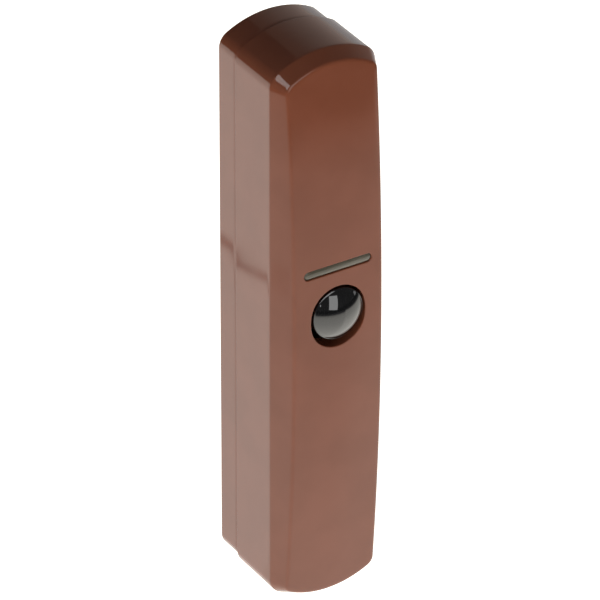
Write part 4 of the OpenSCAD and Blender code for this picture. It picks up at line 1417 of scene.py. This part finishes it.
# ---------------------------------------------------------------- Mode switch
# A two-way slide switch in red nylon with tinned legs, and a white tab in each slot that a
# pen tip can push.
soften("mode_switch", 0.1, moulded("red_nylon", (0.42, 0.018, 0.014, 1), 0.36))
mode_low, mode_high = corners("mode_switch")
mode_z = (mode_low[2] + mode_high[2]) / 2
leg_step = 1.27
leg_half = 0.3
legs = []
for side, edge_x in ((-1, mode_low[0]), (1, mode_high[0])):
    for z in (mode_z - leg_step, mode_z + leg_step):
        legs += block((edge_x - side * 0.05, board_face - 0.22, z - leg_half),
                      (edge_x + side * 0.75, board_face - 0.02, z + leg_half), 0.07)
        legs += block((edge_x - side * 0.05, board_face - 1.2, z - leg_half),
                      (edge_x + side * 0.12, board_face - 0.05, z + leg_half), 0.05)
mode_legs = weld("mode_switch_legs", legs, tin_look, 40)
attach(mode_legs, "base")
for number in (1, 2):
    tab_low, tab_high = corners(f"mode_slider_{number}")
    wide = tab_high[0] - tab_low[0]
    tab_grids = block(tab_low, tab_high, 0.14)
    tab_grids += block((tab_low[0] + wide * 0.35, tab_low[1], tab_low[2] + 0.12),
                       (tab_high[0] - wide * 0.35, tab_low[1] + 0.3, tab_high[2] - 0.12),
                       0.05)
    tab = weld(f"mode_tab_{number}_cap", tab_grids, white_look, 40)
    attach(tab, f"mode_tab_{number}")
    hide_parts(f"mode_slider_{number}")


# ---------------------------------------------------------------- Tamper parts
# Behind the board a small switch is held pressed by a pin that stands out of the back and is
# pushed in by the wall; its spring of steel wire throws it out when the housing is pulled off.
soften("tamper_switch", 0.12, switch_black)
pin_r, flange_r, flange_t = 1.25, (pin_high[0] - pin_low[0]) / 2, 0.8
pin_tall = pin_high[1] - pin_low[1]
flange_at = pin_high[1] + 2.05
pin_profile = ([(0, 0)] + arc((pin_r - 0.5, 0.5), 0.5, -90, 0, 6)
               + [(pin_r, flange_at - 0.1), (pin_r + 0.1, flange_at)]
               + [(flange_r - 0.1, flange_at), (flange_r, flange_at + 0.1),
                  (flange_r, flange_at + flange_t - 0.1), (flange_r - 0.1, flange_at + flange_t),
                  (pin_r + 0.1, flange_at + flange_t), (pin_r, flange_at + flange_t + 0.1)]
               + arc((pin_r - 0.3, pin_tall - 0.3), 0.3, 0, 90, 5) + [(0, pin_tall)])
tamper_pin = weld("tamper_pin_body", [lathe(pin_profile, (pin_mid[0], pin_high[1], pin_mid[2]))],
                  white_look, 35)
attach(tamper_pin, "tamper_pin")
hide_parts("tamper_plunger")
spring_look = metal("spring_wire", (0.50, 0.50, 0.51, 1), 0.25, (0.3, 0.3, 0.3))


def spring(low_r, high_r, rise, turns, wire, out, centre):
    """A compression spring: a helix whose pitch is close to zero over its first and last turn,
    where it lies shut, and whose radius runs from one end's to the other's."""
    t = np.linspace(0, 1, int(turns * 28) + 1)
    shut = 0.8 / turns
    height = np.clip((t - shut) / (1 - 2 * shut), 0, 1)
    shut_rise = 2.1 * wire
    height = (height * (rise - 2 * wire - 2 * shut_rise) + wire
              + shut_rise * (np.clip(t / shut, 0, 1) + np.clip((t - 1 + shut) / shut, 0, 1)))
    radius = low_r + (high_r - low_r) * t
    angle = 2 * math.pi * turns * t
    first, second = radius * np.cos(angle), radius * np.sin(angle)
    x, y, z = centre
    if out:
        return tube(np.stack([x + first, y - height, z + second], -1), wire, (0, 1, 0), 10)
    return tube(np.stack([x + first, y + second, z + height], -1), wire, (0, 0, 1), 10)


coil_low, coil_high = corners("tamper_spring")
coil_wire = 0.22
coil_turns = 4.5
coil_r = (coil_high[0] - coil_low[0]) / 2 - coil_wire
tamper_spring = weld("tamper_spring_coil",
                     [spring(coil_r, coil_r, coil_high[1] - coil_low[1], coil_turns, coil_wire, True,
                             (pin_mid[0], coil_high[1], pin_mid[2]))], spring_look, 60)
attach(tamper_spring, "base")
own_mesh(tamper_spring)
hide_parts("tamper_spring")


# ---------------------------------------------------------------- Screws
# Steel pan-head screws with a cross recess: two short ones hold the board to its posts, and one
# through the lower end of the housing keeps the cover shut.
steel_look = metal("plated_steel", (0.60, 0.60, 0.61, 1), 0.2)


def screw(length, head_r, head_h, wire, place_at):
    """Head: a dome on a polar grid whose height drops by the recess depth inside a cross. Shank:
    a radius that swells on a helix, one ridge for each turn, and runs to a blunt point.
    place_at turns (first, second, height above the seat) into points."""
    turn = full_turn(96)
    share = np.concatenate([np.linspace(0, 0.55, 22), np.linspace(0.6, 1, 9)])[:, None]
    first, second = head_r * share * np.cos(turn), head_r * share * np.sin(turn)
    arm, reach = head_r * 0.13, head_r * 0.52
    cross = np.clip((arm - np.minimum(np.abs(first), np.abs(second))) / 0.07, 0, 1)
    cross *= np.clip((reach - np.hypot(first, second)) / 0.12, 0, 1)
    dome = head_h * (1 - 0.28 * share ** 2.5)
    top = dome - cross * head_h * 0.6 + 0 * turn
    under = np.array([(head_r, head_h * 0.2), (head_r - 0.08, 0.0), (wire, 0.0)])
    head_first = np.concatenate([first, under[:, :1] * np.cos(turn)])
    head_second = np.concatenate([second, under[:, :1] * np.sin(turn)])
    height = np.concatenate([top, under[:, 1:] + 0 * turn])
    down = np.linspace(0, 1, int(length * 16))[:, None]
    pitch = 0.55
    ridge = 0.5 + 0.5 * np.cos(2 * math.pi * (down * length / pitch) - turn)
    point = np.clip((1 - down) * length / 0.7, 0, 1) ** 0.6
    shank = (wire - 0.2 + 0.2 * ridge ** 2 * np.clip(down * length / 0.4, 0, 1)) * point
    head_first = np.concatenate([head_first, shank * np.cos(turn)])
    head_second = np.concatenate([head_second, shank * np.sin(turn)])
    height = np.concatenate([height, -down * length + 0 * turn])
    return place_at(head_first, head_second, height)


board_screw_l, board_head_h = 4.8, 1.3
thread_r = 0.93
screw_grids = [screw(board_screw_l, head_r, board_head_h, thread_r,
                     lambda a, b, h, x=x, z=z: np.stack([x + a, board_face - h, z + b], -1))
               for x, z in seats]
board_screws = weld("board_screw_set", screw_grids, steel_look, 40)
closer_x, closer_y = (closer_low[0] + closer_high[0]) / 2, (closer_low[1] + closer_high[1]) / 2
closer_head_h = 0.9
closer_seat = closer_low[2] + closer_head_h
closer = weld("cover_screw_body",
              [screw(closer_high[2] - closer_seat, head_r, closer_head_h, thread_r,
                     lambda a, b, h: np.stack([closer_x + a, closer_y + b, closer_seat - h], -1))],
              steel_look, 40)
for piece, node in ((board_screws, "board_screws"), (closer, "cover_screw")):
    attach(piece, "base")
    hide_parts(node)


# ---------------------------------------------------------------- Battery and its contacts
# A lithium cell in a printed plastic sleeve, between a sprung contact of conical steel wire at
# its lower end and a flat one at its button. The contacts are gold-flashed spring strip.
cell_r = (cell_high[0] - cell_low[0]) / 2
cell_tall = cell_high[2] - cell_low[2]
cell_profile = ([(0, 0.15), (cell_r * 0.55, 0.15), (cell_r * 0.6, 0)]
                + arc((cell_r - 0.8, 0.8), 0.8, -90, 0, 7)
                + [(cell_r, cell_tall - 0.6)] + arc((cell_r - 0.5, cell_tall - 0.5), 0.5, 0, 90, 5)
                + [(cell_r - 1.1, cell_tall - 0.05), (cell_r - 1.3, cell_tall - 0.45),
                   (4.4, cell_tall - 0.45), (4.1, cell_tall - 0.05), (0, cell_tall - 0.05)])
cell_can = weld("cell_can", [lathe(cell_profile, (cell_mid[0], cell_mid[1], cell_low[2]), False, 96)],
                shield_look, 35)
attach(cell_can, "base")
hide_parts("battery_cell")
sleeve_r = (sleeve_high[0] - sleeve_low[0]) / 2
sleeve_tall = sleeve_high[2] - sleeve_low[2]


def printed_sleeve():
    """Dark slate film with a pale band and a thin line near the button end, and fine shrink
    wrinkles."""
    material, shader, place = start_material("printed_sleeve")
    up, soft = place.axis(2), 0.00005

    def stripe(low, high):
        return up.step(low, low + soft) * (1.0 - up.step(high, high + soft))

    band_low = (sleeve_high[2] - 7.0) * MM
    band = stripe(band_low, band_low + 0.0030)
    line = stripe(band_low - 0.0010, band_low - 0.0006)
    wrinkle = place.noise(500, 3, 0.6, (1, 1, 0.15))
    relief = wrinkle.bump(0.3, 0.00003)
    colour = (band + line).mix((0.020, 0.034, 0.044, 1), (0.62, 0.60, 0.54, 1))
    connect(shader, Base_Color=colour, Roughness=0.22 + wrinkle * 0.15, Normal=relief)
    return material


wall = sleeve_r - cell_r
sleeve_profile = ([(cell_r, 0.0), (cell_r, sleeve_tall)]
                  + [(sleeve_r - wall * 0.3, sleeve_tall), (sleeve_r, sleeve_tall - 0.1),
                     (sleeve_r, 0.1), (sleeve_r - wall * 0.3, 0.0), (cell_r, 0.0)])
sleeve = weld("cell_sleeve", [lathe(sleeve_profile, (cell_mid[0], cell_mid[1], sleeve_low[2]),
                                    False, 96)], printed_sleeve(), 35)
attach(sleeve, "base")
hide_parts("battery_sleeve")
cap_low, cap_high = corners("battery_cap")
cap_r = (cap_high[0] - cap_low[0]) / 2
cap_tall = cap_high[2] - cap_low[2]
button_profile = ([(0, 0), (cap_r, 0), (cap_r, 0.12), (cap_r - 0.35, 0.2),
                   (cap_r - 0.45, cap_tall - 0.25)]
                  + arc((cap_r - 0.7, cap_tall - 0.25), 0.25, 0, 90, 5) + [(0, cap_tall)])
cell_button = weld("cell_button", [lathe(button_profile, (cell_mid[0], cell_mid[1], cap_low[2]),
                                         False, 64)], shield_look, 35)
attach(cell_button, "base")
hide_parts("battery_cap")
for node, name in (("positive_contact", "positive_strip"), ("negative_contact", "negative_strip")):
    piece = weld(name, block(*corners(node), 0.12), gold_look, 40)
    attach(piece, "base")
    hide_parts(node)
cone_low, cone_high = corners("negative_spring")
cone_low_r, cone_high_r = 5.0, 3.3
cone_turns = 3.6
cone_wire = 0.4
cone = weld("cell_spring",
            [spring(cone_low_r, cone_high_r, cone_high[2] - cone_low[2], cone_turns, cone_wire,
                    False, (cell_mid[0], cell_mid[1], cone_low[2]))], spring_look, 60)
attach(cone, "base")
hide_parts("negative_spring")


# ---------------------------------------------------------------- Heat sensor
# Under the lens, a round nylon holder carries a gold-legged metal can with a square window of
# coated silicon. The lens hides it, but it is all there.
soften("sensor_holder", 0.1, switch_black)
soften("pyro_can", 0.15, metal("nickel_can", (0.68, 0.66, 0.60, 1), 0.22))
soften("pyro_leads", 0.03, gold_look)


def coated_window():
    """Silicon with a violet interference coating that shifts a little over its face."""
    material, shader, place = start_material("coated_window")
    shift = place.noise(300, 2)
    connect(shader, Base_Color=shift.mix((0.020, 0.012, 0.075, 1), (0.050, 0.020, 0.110, 1)),
            Metallic=0.4, Roughness=0.08 + shift * 0.05)
    return material


soften("pyro_window", 0.05, coated_window())
